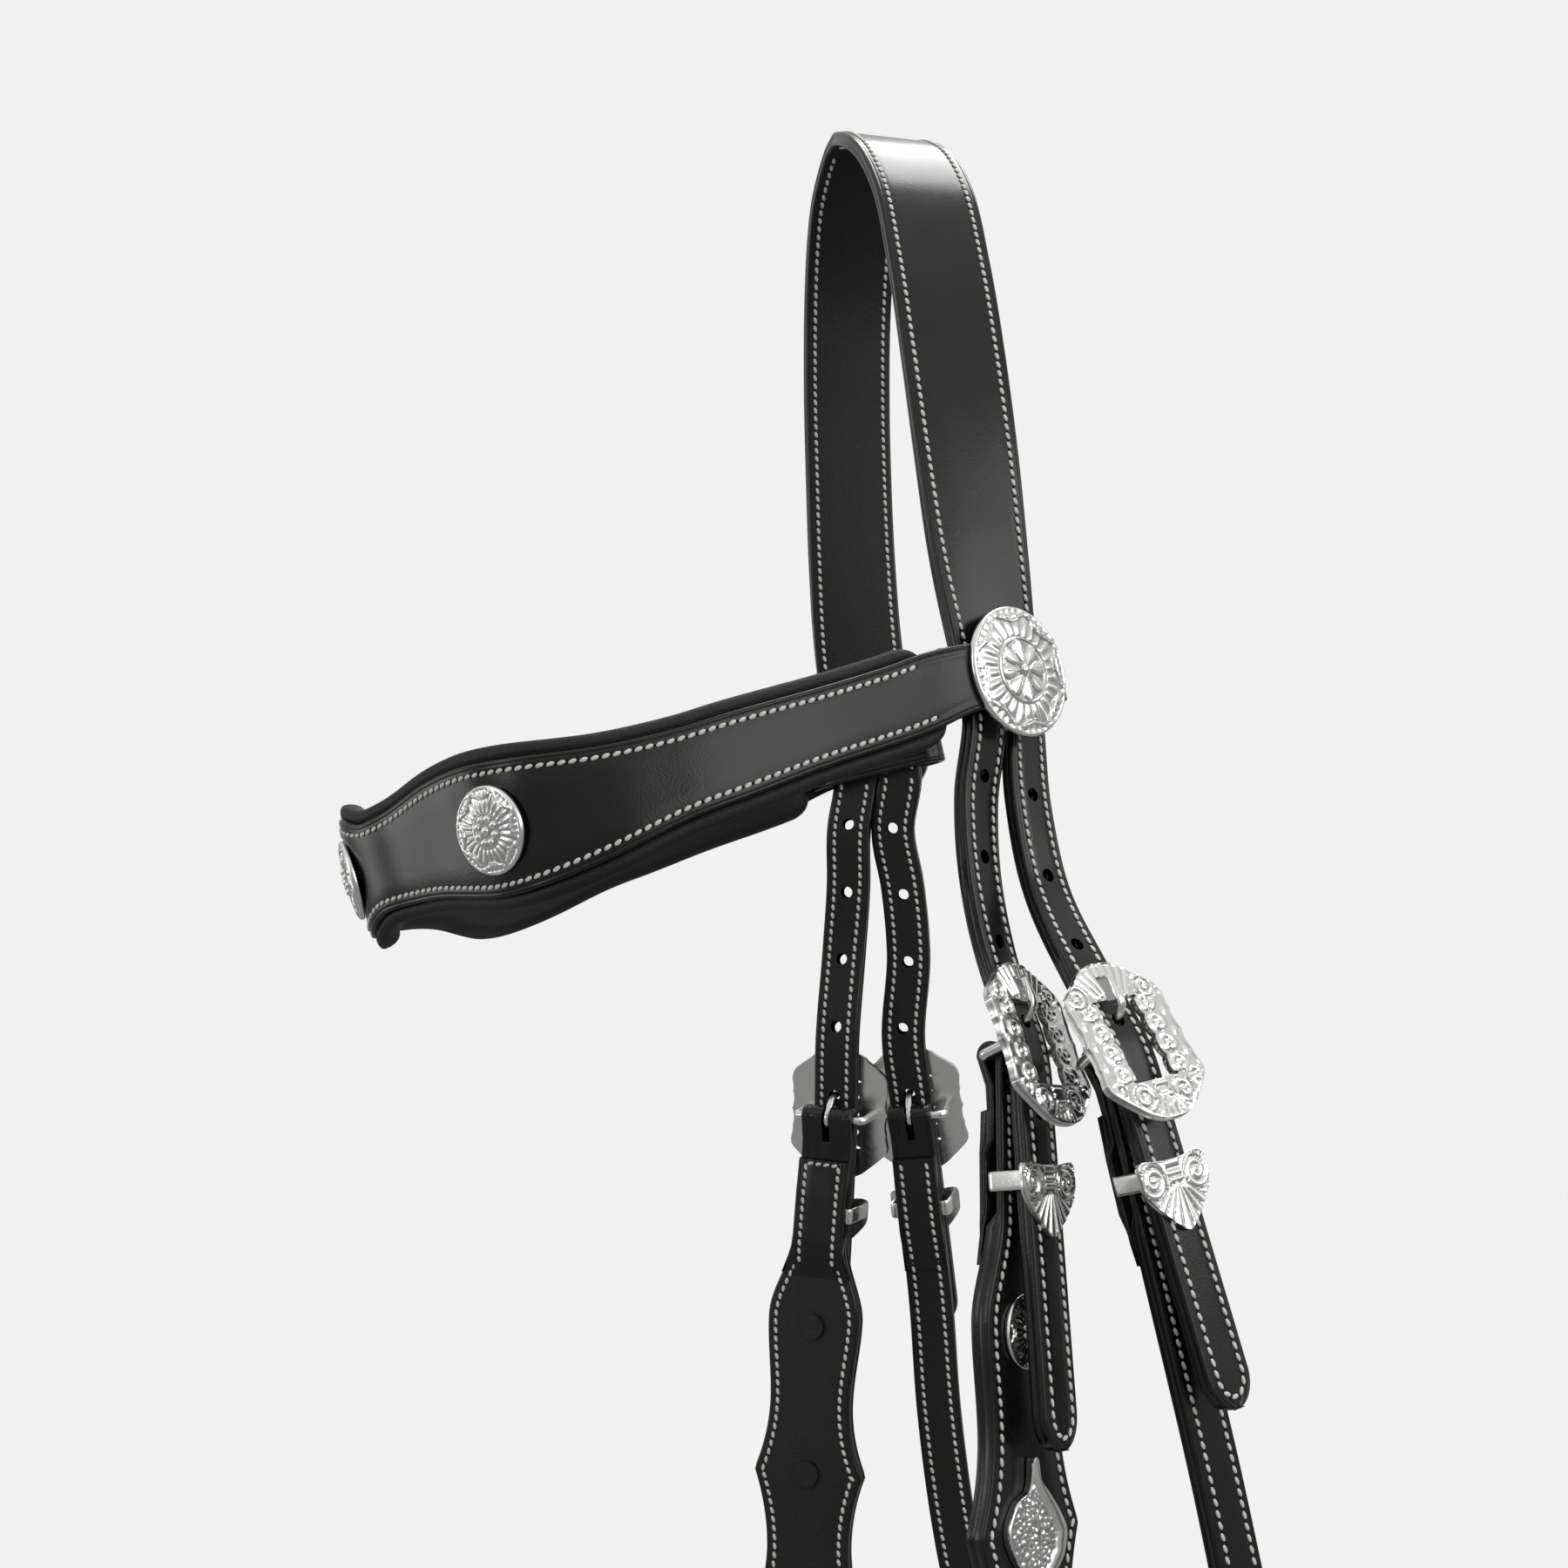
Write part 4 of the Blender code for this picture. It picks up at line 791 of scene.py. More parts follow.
HOLE_PITCH, HOLE_RADIUS, HOLE_COUNT, TONGUE_RISE = 0.025, 0.0021, 5, 0.0072
buckled_hole = {LEFT: 3, RIGHT: 4}
punch = bmesh.new()
for (where, side), (course, start) in billets.items():
    buckled = course.nearest(buckle_seat(where, side).place(0, TONGUE_RISE, BILLET_RIDE))
    for index in range(HOLE_COUNT):
        seat = seat_on(course, buckled + (index - buckled_hole[side]) * HOLE_PITCH, 0)
        bmesh.ops.create_cone(punch, cap_ends=True, segments=20, radius1=HOLE_RADIUS, radius2=HOLE_RADIUS,
                              depth=2 * STRAP, matrix=seat.matrix())
leather_piece("headpiece_leather", subtracted(headpiece, punch), "headstall", "headpiece")
print("holes", HOLE_COUNT * len(billets))


# %% Stitches of the headpiece
def tip_marks(half, start, end, inset):
    """Marks round a billet from its rear edge at the slit, round its tip, to its front edge."""
    straight = spread(start, end - BILLET_TIP, MARK_STEP)
    turned = []
    for degrees in range(6, 175, 8):
        across, down = on_circle(degrees)
        turned.append((end - BILLET_TIP + (BILLET_TIP - inset) * down, (half - inset) * across))
    return [(d, half - inset) for d in straight] + turned + [(d, inset - half) for d in reversed(straight)]


lines = []
arch_radius = SLIT / 2 + CHANNEL_IN
for height, flip in ((STRAP / 2, 1), (-STRAP / 2, -1)):
    for side in (LEFT, RIGHT):
        crown = crowns[side]
        for edge in (-1, 1):
            marks = straight_marks(crown_starts[side], crown.length, edge * (CROWN_WIDTH / 2 - CHANNEL_IN))
            lines.append(line_on(crown, marks, height, flip))
        for where in ("front", "rear"):
            course, start = billets[where, side]
            marks = tip_marks(BILLET_WIDTH / 2, start + SEAM_GAP, start + BILLET_LENGTH, CHANNEL_IN)
            lines.append(line_on(course, marks, height, flip))
        arch = [on_circle(degrees) for degrees in range(0, 181, 15)]
        marks = [(crown.length - arch_radius * up, arch_radius * across) for across, up in arch]
        lines.append(line_on(crown, marks, height, flip))
sewn("headpiece_stitches", lines, "headstall")

# %% [markdown]
# ## Cheekpieces
# Each cheekpiece is one length of leather. It is folded over the buckle's bar, widens and narrows
# in a wave round the ornaments, turns round the bit at its foot and is stitched back on itself.
# The same rolled grid makes it, with the fold drawn as rows that share one place.

# %% Sizes and courses of the cheekpieces
CHEEK_LOOP, CHEEK_THICK, CHEEK_LENGTH = 0.019, 0.006, 0.225
TAIL, BIT_TAIL, BIT_RADIUS, SKIVE = 0.048, 0.043, 0.0075, 0.008
CHEEK_BACK = LOOP_OUTER - CHEEK_THICK
TAIL_FRONT = CHEEK_BACK - FIT_GAP
KEEPER_TRAVEL, BAND_HEIGHT, BAND_THICK = 0.005, 0.0053, 0.0013
KEEPER_REACH = KEEPER_TRAVEL + BAND_HEIGHT / 2
KEEPER_SWAY = KEEPER_REACH * math.sin(BILLET_LEAN)
SPLIT_FRONT = LOOP_INNER - 2 * KEEPER_SWAY - BAND_THICK - 2 * FIT_GAP
THIN_END = KEEPER_DROP + KEEPER_REACH + FIT_GAP
FULL_START = THIN_END + SKIVE / 2
LINING_START = 0.0145
SEAM_START = LINING_START + 0.002
SLOT_WIDTH, SLOT_OVER, CHEEK_POINT, ROW_STEP, LONG_STEP = 0.0028, 0.001, 0.0405, 0.0022, 0.003
cheek_shares = {
    LEFT: [(0.882, 0.104, 1.100, 119), (0.905, 0.098, 1.220, 117), (0.915, 0.095, 1.340, 114)],
    RIGHT: [(0.780, -0.043, 1.110, 126), (0.795, -0.046, 1.230, 122), (0.800, -0.046, 1.390, 114)],
}
cheek_widths = [
    (0.0, 0.019), (0.19, 0.019), (0.315, 0.0345), (0.444, 0.030), (0.551, CHEEK_POINT),
    (0.667, 0.030), (0.764, 0.0345), (0.880, 0.019), (1.0, 0.019),
]


def hanging_knots(where, side):
    seat = bar_seat(where, side)
    return [(seat.place(0, -down, 0), seat.across) for down in (0.0, KEEPER_DROP, 2 * KEEPER_DROP)]


def eased_width(table, share, corner=None):
    """A half width between the entries of a table, in smooth waves, with a corner at one width."""
    for (start, before), (end, after) in zip(table, table[1:]):
        if share <= end:
            t = max(0.0, (share - start) / (end - start))
            if after == corner:
                t = t * t
            elif before == corner:
                t = t * (2 - t)
            else:
                t = t * t * (3 - 2 * t)
            return (before * (1 - t) + after * t) / 2
    return table[-1][1] / 2


def cheek_half(distance):
    return eased_width(cheek_widths, distance / CHEEK_LENGTH, corner=CHEEK_POINT)


def flat_rows(course, places, half_of, outer, inner):
    """Rows of a layer that keeps its levels."""
    return [(course.at(d), half_of(d), outer, inner) for d in places]


widths = [round(2000 * cheek_half(share * CHEEK_LENGTH), 1) for share, _ in cheek_widths]
print("cheekpiece widths in mm", widths)


# %% The inner layer of a strap, open round its keeper's band
def lining_levels(thickness):
    """The back and front of a strap's inner layer, from its skived end up to the fold."""
    whole = LOOP_OUTER - thickness
    front, shut, opened = whole - FIT_GAP, LOOP_INNER - FIT_GAP, KEEPER_DROP - KEEPER_REACH
    levels = [
        (TAIL + 0.008, whole + 0.0001, whole + 0.0004), (TAIL + 0.002, front - 0.0010, front),
        (FULL_START, front - 0.0018, front),
    ]
    split_back = SPLIT_FRONT - LOOP_LEATHER
    levels += [(d, split_back, SPLIT_FRONT) for d in spread(opened, THIN_END, LONG_STEP)[::-1]]
    levels += [
        (opened - 0.004, SPLIT_FRONT - 0.0023, shut), (LINING_START + 0.0006, SPLIT_FRONT - 0.0020, shut),
        (LINING_START, shut - LOOP_LEATHER, shut), (SKIVE, shut - LOOP_LEATHER - 0.0004, shut),
    ]
    return levels


def lining_back(thickness, distance):
    """How far in the lining's face lies at a distance below the bar."""
    levels = lining_levels(thickness)[::-1]
    for (start, before, _), (end, after, _) in zip(levels, levels[1:]):
        if distance <= end:
            return before + (after - before) * (distance - start) / (end - start)
    return LOOP_OUTER - thickness


def top_fold(course, half_of, thickness):
    """Rows of a strap's inner layer and its fold over the bar, open round the keeper's band."""
    rows = [(course.at(d), half_of(d), back, front) for d, back, front in lining_levels(thickness)]
    for degrees in range(180, -1, -10):
        levels = [tuple(reach * part for part in on_circle(degrees)) for reach in (LOOP_OUTER, LOOP_INNER)]
        rows.append((course.at(0.0), half_of(0.0), *levels))
    return rows


def lining_line(course, across, thickness, flipped=False):
    """The stitch line down one edge of a strap's inner layer, below its fold."""
    line = []
    for d in spread(SEAM_START, TAIL + 0.004, MARK_STEP):
        station = course.at(course.length - d if flipped else d)
        line.append((station.offset(across, lining_back(thickness, d)), -station.out))
    return line


print("the lining's face at the seam", round(1000 * lining_back(CHEEK_THICK, SEAM_START), 2), "mm")


# %% The cheekpieces' leather
def slot_tool(where, side):
    """A box that cuts the tongue's slot through a strap's fold."""
    tool = bmesh.new()
    reach = LOOP_OUTER + SLOT_OVER
    box = Matrix.Diagonal((SLOT_WIDTH, reach + SKIVE, 2 * reach, 1))
    box = Matrix.Translation((0, (reach - SKIVE) / 2, 0)) @ box
    bmesh.ops.create_cube(tool, size=1.0, matrix=buckle_seat(where, side).matrix() @ box)
    return tool


def bit_loop_rows(course):
    """Rows where the strap thins, turns round the bit and comes back up behind itself."""
    half, low = CHEEK_LOOP / 2, CHEEK_LENGTH - SKIVE - BIT_RADIUS
    rows = []
    for share in (0.3, 0.6, 1.0):
        level = CHEEK_BACK * (1 - share) + LOOP_INNER * share
        rows.append((course.at(low + SKIVE * share), half, LOOP_OUTER, level))
    centre = LOOP_INNER - BIT_RADIUS
    for degrees in range(0, 181, 9):
        out, up = on_circle(degrees)
        levels = [(centre + reach * out, reach * -up) for reach in (BIT_RADIUS + LOOP_LEATHER, BIT_RADIUS)]
        rows.append((course.at(CHEEK_LENGTH), half, *levels))
    for share in (0.15, 0.3, 0.5, 0.7, 0.85, 1.0):
        t = share * share * (3 - 2 * share)
        front = (centre - BIT_RADIUS) * (1 - t) + TAIL_FRONT * t
        distance = CHEEK_LENGTH - share * (SKIVE + BIT_RADIUS) - FIT_GAP
        rows.append((course.at(distance), half, front - LOOP_LEATHER, front))
    for distance in spread(CHEEK_LENGTH - BIT_TAIL, low - SKIVE, LONG_STEP)[::-1]:
        rows.append((course.at(distance), half, TAIL_FRONT - LOOP_LEATHER, TAIL_FRONT))
    return rows


cheeks = {}
for hand, side in HANDS:
    course = eased(hanging_knots("front", side) + [knot(shares, side) for shares in cheek_shares[side]], side)
    cheeks[side] = course
    rows = top_fold(course, cheek_half, CHEEK_THICK)
    single = [SKIVE / 4, SKIVE / 2, *spread(SKIVE, THIN_END, ROW_STEP)]
    rows += flat_rows(course, single, cheek_half, LOOP_OUTER, LOOP_INNER)
    whole = spread(FULL_START, CHEEK_LENGTH - SKIVE - BIT_RADIUS, ROW_STEP)
    rows += flat_rows(course, whole, cheek_half, LOOP_OUTER, CHEEK_BACK)
    leather = subtracted(rolled_strap(rows + bit_loop_rows(course)), slot_tool("front", side))
    leather_piece(f"{hand}_cheek_leather", leather, "headstall", f"{hand}_cheekpiece")


# %% Stitches of the cheekpieces
SEAM_MARGIN, TOP_MARGIN, FOOT_MARGIN, WAVE_STEP, NUDGE = 0.003, 0.010, 0.020, 0.0015, 0.0005


def wave_marks(half_of, start, end, edge):
    """Marks that keep one distance inside a waving edge."""
    marks = []
    for d in spread(start, end, WAVE_STEP):
        slope = (half_of(d + NUDGE) - half_of(d - NUDGE)) / (2 * NUDGE)
        lean = math.hypot(1.0, slope)
        marks.append((d + CHANNEL_IN * slope / lean, edge * (half_of(d) - CHANNEL_IN / lean)))
    return marks


for hand, side in HANDS:
    course = cheeks[side]
    lines = []
    for edge in (-1, 1):
        across = edge * (CHEEK_LOOP / 2 - CHANNEL_IN)
        tail_end = CHEEK_LENGTH - BIT_TAIL
        whole = wave_marks(cheek_half, TOP_MARGIN, CHEEK_LENGTH - FOOT_MARGIN, edge)
        between = wave_marks(cheek_half, TAIL + SEAM_MARGIN, tail_end - SEAM_MARGIN, edge)
        tail = straight_marks(tail_end + SEAM_MARGIN, CHEEK_LENGTH - FOOT_MARGIN - MARK_STEP, across)
        lines += [line_on(course, whole, LOOP_OUTER), line_on(course, between, CHEEK_BACK, -1)]
        lines += [lining_line(course, across, CHEEK_THICK)]
        lines += [line_on(course, tail, TAIL_FRONT - LOOP_LEATHER, -1)]
    seam = [(SEAM_START, x) for x in (-0.0062, 0.0, 0.0062)]
    lines.append(line_on(course, seam, lining_back(CHEEK_THICK, SEAM_START), -1))
    sewn(f"{hand}_cheek_stitches", lines, "headstall")

# %% [markdown]
# ## Throatlash
# A plain strap in a long U, folded over the rear bars at both ends.

# %% The throatlash and its stitches
THROAT_WIDTH, THROAT_THICK = BILLET_WIDTH, 0.0048
throat_shares = {
    LEFT: [(0.950, 0.650, 1.090, 110), (0.950, 0.735, 1.210, 108), (0.880, 0.815, 1.370, 106)],
    RIGHT: [(0.835, 0.460, 1.110, 114), (0.850, 0.540, 1.240, 112), (0.800, 0.690, 1.390, 108)],
}
throat_bottom_shares = [(0.560, 0.870, 1.490, 100), (0.000, 0.890, 1.545, 90), (-0.520, 0.830, 1.500, 100)]
own_knots = {side: hanging_knots("rear", side) + [knot(shares, side) for shares in throat_shares[side]]
             for side in (LEFT, RIGHT)}
bottom = [knot(shares, LEFT) for shares in throat_bottom_shares]
bottom[-1] = (bottom[-1][0], bottom[-1][1] * Vector((-1, 1, 1)))
throat = eased(own_knots[LEFT] + bottom + own_knots[RIGHT][::-1], LEFT)


def throat_half(_):
    return THROAT_WIDTH / 2


back = LOOP_OUTER - THROAT_THICK
ends = {side: top_fold(eased(own_knots[side], side), throat_half, THROAT_THICK) for side in (LEFT, RIGHT)}
single = [SKIVE * 0.25, SKIVE * 0.5, *spread(SKIVE, THIN_END, LONG_STEP)]
whole = spread(FULL_START, throat.length - FULL_START, LONG_STEP)
rows = flat_rows(throat, single, throat_half, LOOP_OUTER, LOOP_INNER)
rows += flat_rows(throat, whole, throat_half, LOOP_OUTER, back)
rows += flat_rows(throat, [throat.length - d for d in single[::-1]], throat_half, LOOP_OUTER, LOOP_INNER)
leather = rolled_strap(ends[LEFT] + rows + ends[RIGHT][::-1])
for side in (LEFT, RIGHT):
    leather = subtracted(leather, slot_tool("rear", side))
leather_piece("throatlash_leather", leather, "headstall", "throatlash")
lines = []
for edge in (-1, 1):
    across = edge * (THROAT_WIDTH / 2 - CHANNEL_IN)
    for height, flip, start in ((LOOP_OUTER, 1, TOP_MARGIN), (back, -1, TAIL + SEAM_MARGIN)):
        lines.append(line_on(throat, straight_marks(start, throat.length - start, across), height, flip))
    lines += [lining_line(throat, across, THROAT_THICK, flipped) for flipped in (False, True)]
sewn("throatlash_stitches", lines, "headstall")
print("throatlash length", round(throat.length * 1000), "mm")

# %% [markdown]
# ## Browband
# The browband's face is one layer of leather cut in a wave, with a loop at each end that goes
# round the crown strap. Behind it a padded roll of soft leather follows the same wave and shows as
# a rounded lip above and below. The face is a rolled grid again. The roll has a fuller section.

# %% Courses of the browband
FACE, BROW_REACH, BROW_HALF_SPAN, LOOP_SLACK = 0.0026, 0.1935, 0.0875, 0.0016
BROW_LOOP, BROW_BULGE, PAD_PROUD, PAD_DEPTH, PAD_SHORT = 0.020, 0.038, 0.004, 0.007, 0.013
LIFT_RANGE, SCREW_HEAD, BROW_PITCH, BEND_STEP = 8, 0.0008, 17.6, 0.0012
browband_shares = [
    (0.000, 1.000, 0.000), (0.090, 0.998, 0.000), (0.190, 0.980, 0.000), (0.330, 0.937, 0.000),
    (0.550, 0.880, -0.001), (0.690, 0.844, -0.009), (0.800, 0.811, -0.018), (0.900, 0.766, -0.025),
    (0.970, 0.687, -0.029), (1.000, 0.558, -0.023), (0.993, 0.388, -0.014), (0.950, 0.207, -0.006),
]
height_shares = [(0.0, 1.0), (0.09, 0.42), (0.34, 0.97), (0.63, 0.24), (0.80, 0.12), (0.92, 0.12), (1.0, 0.0)]
crown = crowns[LEFT]
strap = crown.at(crown.nearest(knot(crown_shares[9], LEFT)[0]))
level, rising = on_circle(BROW_PITCH)
forward = Vector((0.0, -level, -rising))
brow_up = Vector((0.0, -rising, level))
brow_middle = Vector((0.0, strap.point.y, strap.point.z))
loop_up = Matrix.Rotation(math.radians(LIFT_RANGE / 2), 3, "X") @ -strap.along
loop_across = (strap.across - loop_up * strap.across.dot(loop_up)).normalized()
loop_out = loop_across.cross(loop_up)


def brow_plan(sideways_share, forward_share, rise_share):
    sideways = Vector((sideways_share * BROW_HALF_SPAN, 0, 0))
    return brow_middle + sideways + (forward * forward_share + brow_up * rise_share) * BROW_REACH


def brow_knots():
    """From the middle of the forehead to the end of the loop round the left strap."""
    side = CROWN_WIDTH / 2 + LOOP_SLACK
    front = STRAP / 2 + LOOP_SLACK + SCREW_HEAD + FACE / 2
    back = STRAP / 2 + LOOP_SLACK + FACE / 2
    bend, middle = (front + back) / 2, (front - back) / 2
    route = [(side * share, front) for share in (-1.0, -0.5, 0.0, 0.5, 0.8, 1.0)]
    for degrees in (25, 60, 90, 120, 155):
        out, across = on_circle(degrees)
        route.append((side + bend * across, middle + bend * out))
    route += [(side * share, -back) for share in (1.0, 0.5, 0.0, -0.5, -1.0)]
    route += [(-side - bend, -back * 0.35), (-side - bend * 1.3, front - FACE - 2 * FIT_GAP)]
    knots = [(brow_plan(*shares), brow_up) for shares in browband_shares]
    return knots + [(strap.point + loop_across * x + loop_out * out, loop_up) for x, out in route]


knots = brow_knots()
left_half = eased(knots, LEFT)
front_end = left_half.nearest(knots[12][0])
rosette_at = left_half.nearest(knots[14][0])
flip = Vector((-1, 1, 1))
mirrored = [(point * flip, across * flip) for point, across in left_half.samples[:0:-1]]
brow = Course(mirrored + left_half.samples, LEFT)
BROW_CENTRE = left_half.length
print("browband from ring to ring", round(2000 * front_end), "mm")


# %% The face's leather
brow_heights = [(share, BROW_LOOP + (BROW_BULGE - BROW_LOOP) * high) for share, high in height_shares]


def brow_half(distance):
    """Half the height of the wave, at a distance from the middle."""
    return eased_width(brow_heights, min(abs(distance) / front_end, 1.0))


places = spread(front_end, left_half.length, BEND_STEP)[:0:-1]
places = [-d for d in places] + spread(-front_end, front_end, ROW_STEP) + places[::-1]
rows = [(brow.at(BROW_CENTRE + d), brow_half(d), FACE / 2, -FACE / 2) for d in places]
leather_piece("browband_leather", rolled_strap(rows), "browband", "browband_face")


# %% The padded roll behind it
def roll_ring(station, half_face, half_roll, depth):
    """A puffed section: round lips above and below the face, full at the back, hollow in front."""
    points = []
    front = -FACE / 2 - FIT_GAP
    lip = (half_roll - half_face) / 2
    for degrees in range(-90, 91, 18):
        level, rising = on_circle(degrees)
        inwards, forwards = (lip * 1.5, lip * 0.9) if degrees > 0 else (depth * 0.55, depth * 0.8)
        points.append((half_roll - inwards * (1 - level), front + forwards * rising))
    crown_back = -FACE / 2 - depth
    side = [(half_roll * 0.45, crown_back), *points, (half_face * 0.96, front)]
    ring = [(0.0, crown_back - 0.0003)] + side + [(0.0, front)] + [(-x, out) for x, out in reversed(side)]
    return [station.offset(across, out) for across, out in ring]


def roll_rows():
    """Rows of (distance, half height, plumpness), drawn in round at both ends."""
    end = front_end - PAD_SHORT
    rounding = 2 * PAD_PROUD
    half_rows = [(d, brow_half(d) + PAD_PROUD, 1.0) for d in spread(0.0, end - rounding, HALF_STRAP_STEP)]
    full = brow_half(end) + PAD_PROUD
    for degrees in range(10, 91, 10):
        narrow, far = on_circle(degrees)
        half_rows.append((end - rounding * (1 - far), full * (0.5 + 0.5 * narrow), 0.35 + 0.65 * narrow))
    return [(-d, half, depth) for d, half, depth in half_rows[:0:-1]] + half_rows


rings = []
for d, half_roll, plump in roll_rows():
    half_face = min(brow_half(d), half_roll - 0.001)
    rings.append(roll_ring(brow.at(BROW_CENTRE + d), half_face, half_roll, PAD_DEPTH * plump))
roll = finished("browband_roll", rolled_grid(rings), "browband", (lining_leather,),
                ["browband_lining", "browband_padding"], sharp=60)

# %% Stitches of the browband
lines = []
end = front_end - PAD_SHORT - PAD_PROUD
for edge in (-1, 1):
    marks = [(BROW_CENTRE + d, across) for d, across in wave_marks(brow_half, -end, end, edge)]
    lines.append(line_on(brow, marks, FACE / 2))
sewn("browband_stitches", lines, "browband")

# %% [markdown]
# ## Ornaments
# The conchos and rosettes are cast discs with raised work. A disc is a profile spun once round,
# and its fine rings and spokes are then raised and sunk by a height for each radius and angle, as
# a die would press them. Beads are spheres sunk half way. How much painted shade each point takes,
# more the lower it lies, is kept in an attribute, which the silver finish reads to paint shade into the
# recesses.


# %% A disc spun from its profile
SCALLOPS, SPOKES, PETALS = 8, 26, 8


def spun(profile, steps):
    """Spin a profile of (radius, height) points once round Z and close it."""
    shape = bmesh.new()
    verts = [shape.verts.new((radius, 0, height)) for radius, height in profile]
    edges = [shape.edges.new(pair) for pair in zip(verts, verts[1:])]
    bmesh.ops.spin(shape, geom=verts + edges, cent=(0, 0, 0), axis=(0, 0, 1), angle=2 * math.pi, steps=steps,
                   use_merge=True)
    bmesh.ops.remove_doubles(shape, verts=shape.verts, dist=0.00001)
    bmesh.ops.recalc_face_normals(shape, faces=shape.faces)
    return shape


def painted_shade_of(level):
    """How much painted shade a place takes, from 0 on high relief to 0.85 in the lowest."""
    return max(0.0, 0.85 - 1.5 * level)


def bump_between(value, low, high):
    """1 between two values and 0 outside them, with soft shoulders."""
    middle, half = (low + high) / 2, (high - low) / 2
    t = max(0.0, 1 - abs(value - middle) / half)
    return t * t * (3 - 2 * t)


def phase_of(angle, count):
    """How far an angle is from the middle of its own one of a number of equal parts, -0.5 to 0.5."""
    return (angle * count / (2 * math.pi) + 0.5) % 1 - 0.5


def concho_height(rho, angle):
    """How high the relief stands, from 0 to 1, at a share of the radius and an angle."""
    phase = phase_of(angle, SCALLOPS)
    arc = 0.73 + 0.20 * abs(2 * phase) ** 1.7
    if rho > 0.93:
        return 0.80
    if rho > arc + 0.045:
        level = 0.62
        reach = bump_between(rho, arc + 0.02, 0.97)
        for mark in (-0.27, -0.09, 0.09, 0.27):
            level -= 0.50 * bump_between(phase, mark - 0.06, mark + 0.06) * reach
        return level
    if rho > arc - 0.045:
        return 1.0 - 0.45 * bump_between(rho, arc - 0.02, arc + 0.02)
    if rho > 0.43:
        spoke = bump_between(phase_of(angle, SPOKES), -0.40, 0.40)
        return 0.25 + 0.60 * spoke * bump_between(rho, 0.42, arc - 0.04) ** 0.4
    if rho > 0.38:
        return 0.05 + 0.4 * bump_between(rho, 0.37, 0.42)
    return 0.22


def rosette_height(rho, angle):
    """The large rosette: the same rim, with a daisy of eight petals in its middle."""
    if rho > 0.52:
        return concho_height(0.43 + (rho - 0.52) * 0.57 / 0.48, angle)
    if rho > 0.46:
        return 0.15 + 0.6 * bump_between(rho, 0.46, 0.52)
    petal = phase_of(angle, PETALS)
    wide = 0.46 * math.sin(math.pi * min(max((rho - 0.08) / 0.40, 0), 1)) ** 0.6
    if abs(petal) < wide:
        return 0.35 + 0.55 * math.cos(petal / wide * math.pi / 2) - 0.15 * bump_between(petal, -0.04, 0.04)
    return 0.08


print("relief at the rim", round(concho_height(0.97, 0.0), 2))


# %% A cast disc with its relief and beads
DOME_TOP, DOME_FALL, DOME_POWER, DISC_EDGE, DISC_BACK, DISC_RELIEF = 0.72, 0.40, 2.2, 0.22, 0.985, 0.21
SMALL_DISC, SMALL_STEPS, LARGE_STEPS = 0.015, (144, 44), (192, 60)


def ornament(name, seat, radius, thick, height_of, body, beads):
    """A cast disc on a seat, its relief pressed in, with beads of (distance, size, count)."""
    steps, rings = SMALL_STEPS if radius < SMALL_DISC else LARGE_STEPS
    relief = thick * DISC_RELIEF

    def dome(share):
        return thick * (DOME_TOP - DOME_FALL * share ** DOME_POWER)

    face = [(radius * share, dome(share)) for share in spread(0, 1, 1 / rings)[1:-1]]
    rim = [(radius, thick * DISC_EDGE), (radius * DISC_BACK, FIT_GAP)]
    profile = [(0.0, thick * DOME_TOP), *face, *rim, (0.0, FIT_GAP)]
    shape = spun(profile, steps)
    recess_shade = shape.verts.layers.float.new("recess_shade")
    for vert in shape.verts:
        rho = math.hypot(vert.co.x, vert.co.y) / radius
        if vert.co.z > FIT_GAP * 1.5:
            level = height_of(rho, math.atan2(vert.co.y, vert.co.x)) if rho < 0.999 else 0.5
            vert.co.z += relief * level * min(1.0, (1.03 - rho) / 0.06)
            # The recess attribute holds painted shade: lower relief is painted darker.
            vert[recess_shade] = painted_shade_of(level)
    for distance, size, count in beads:
        for index in range(count):
            turn = 2 * math.pi * (index + 0.5) / count
            out = radius * distance
            place = Vector((out * math.cos(turn), out * math.sin(turn), dome(distance) + relief * 0.35))
            low = Matrix.Translation(place) @ Matrix.Diagonal((1, 1, 0.8, 1))
            bmesh.ops.create_uvsphere(shape, u_segments=16, v_segments=10, radius=radius * size, matrix=low)
    bmesh.ops.transform(shape, matrix=seat.matrix(), verts=shape.verts)
    if seat.side == RIGHT:
        bmesh.ops.recalc_face_normals(shape, faces=shape.faces)
    finished(name + "_cast", shape, body, (cast_silver,), [name], sharp=50)


print("a disc's height at its middle and rim, as shares", DOME_TOP, round(DOME_TOP - DOME_FALL, 2))

# %% Where the ornaments sit
def brow_seat(distance, side):
    station = left_half.at(distance)
    seat = Seat(station.offset(0, FACE / 2), station.along, station.across, LEFT)
    return seat if side == LEFT else Seat(seat.point * flip, seat.across * flip, seat.up * flip, RIGHT)


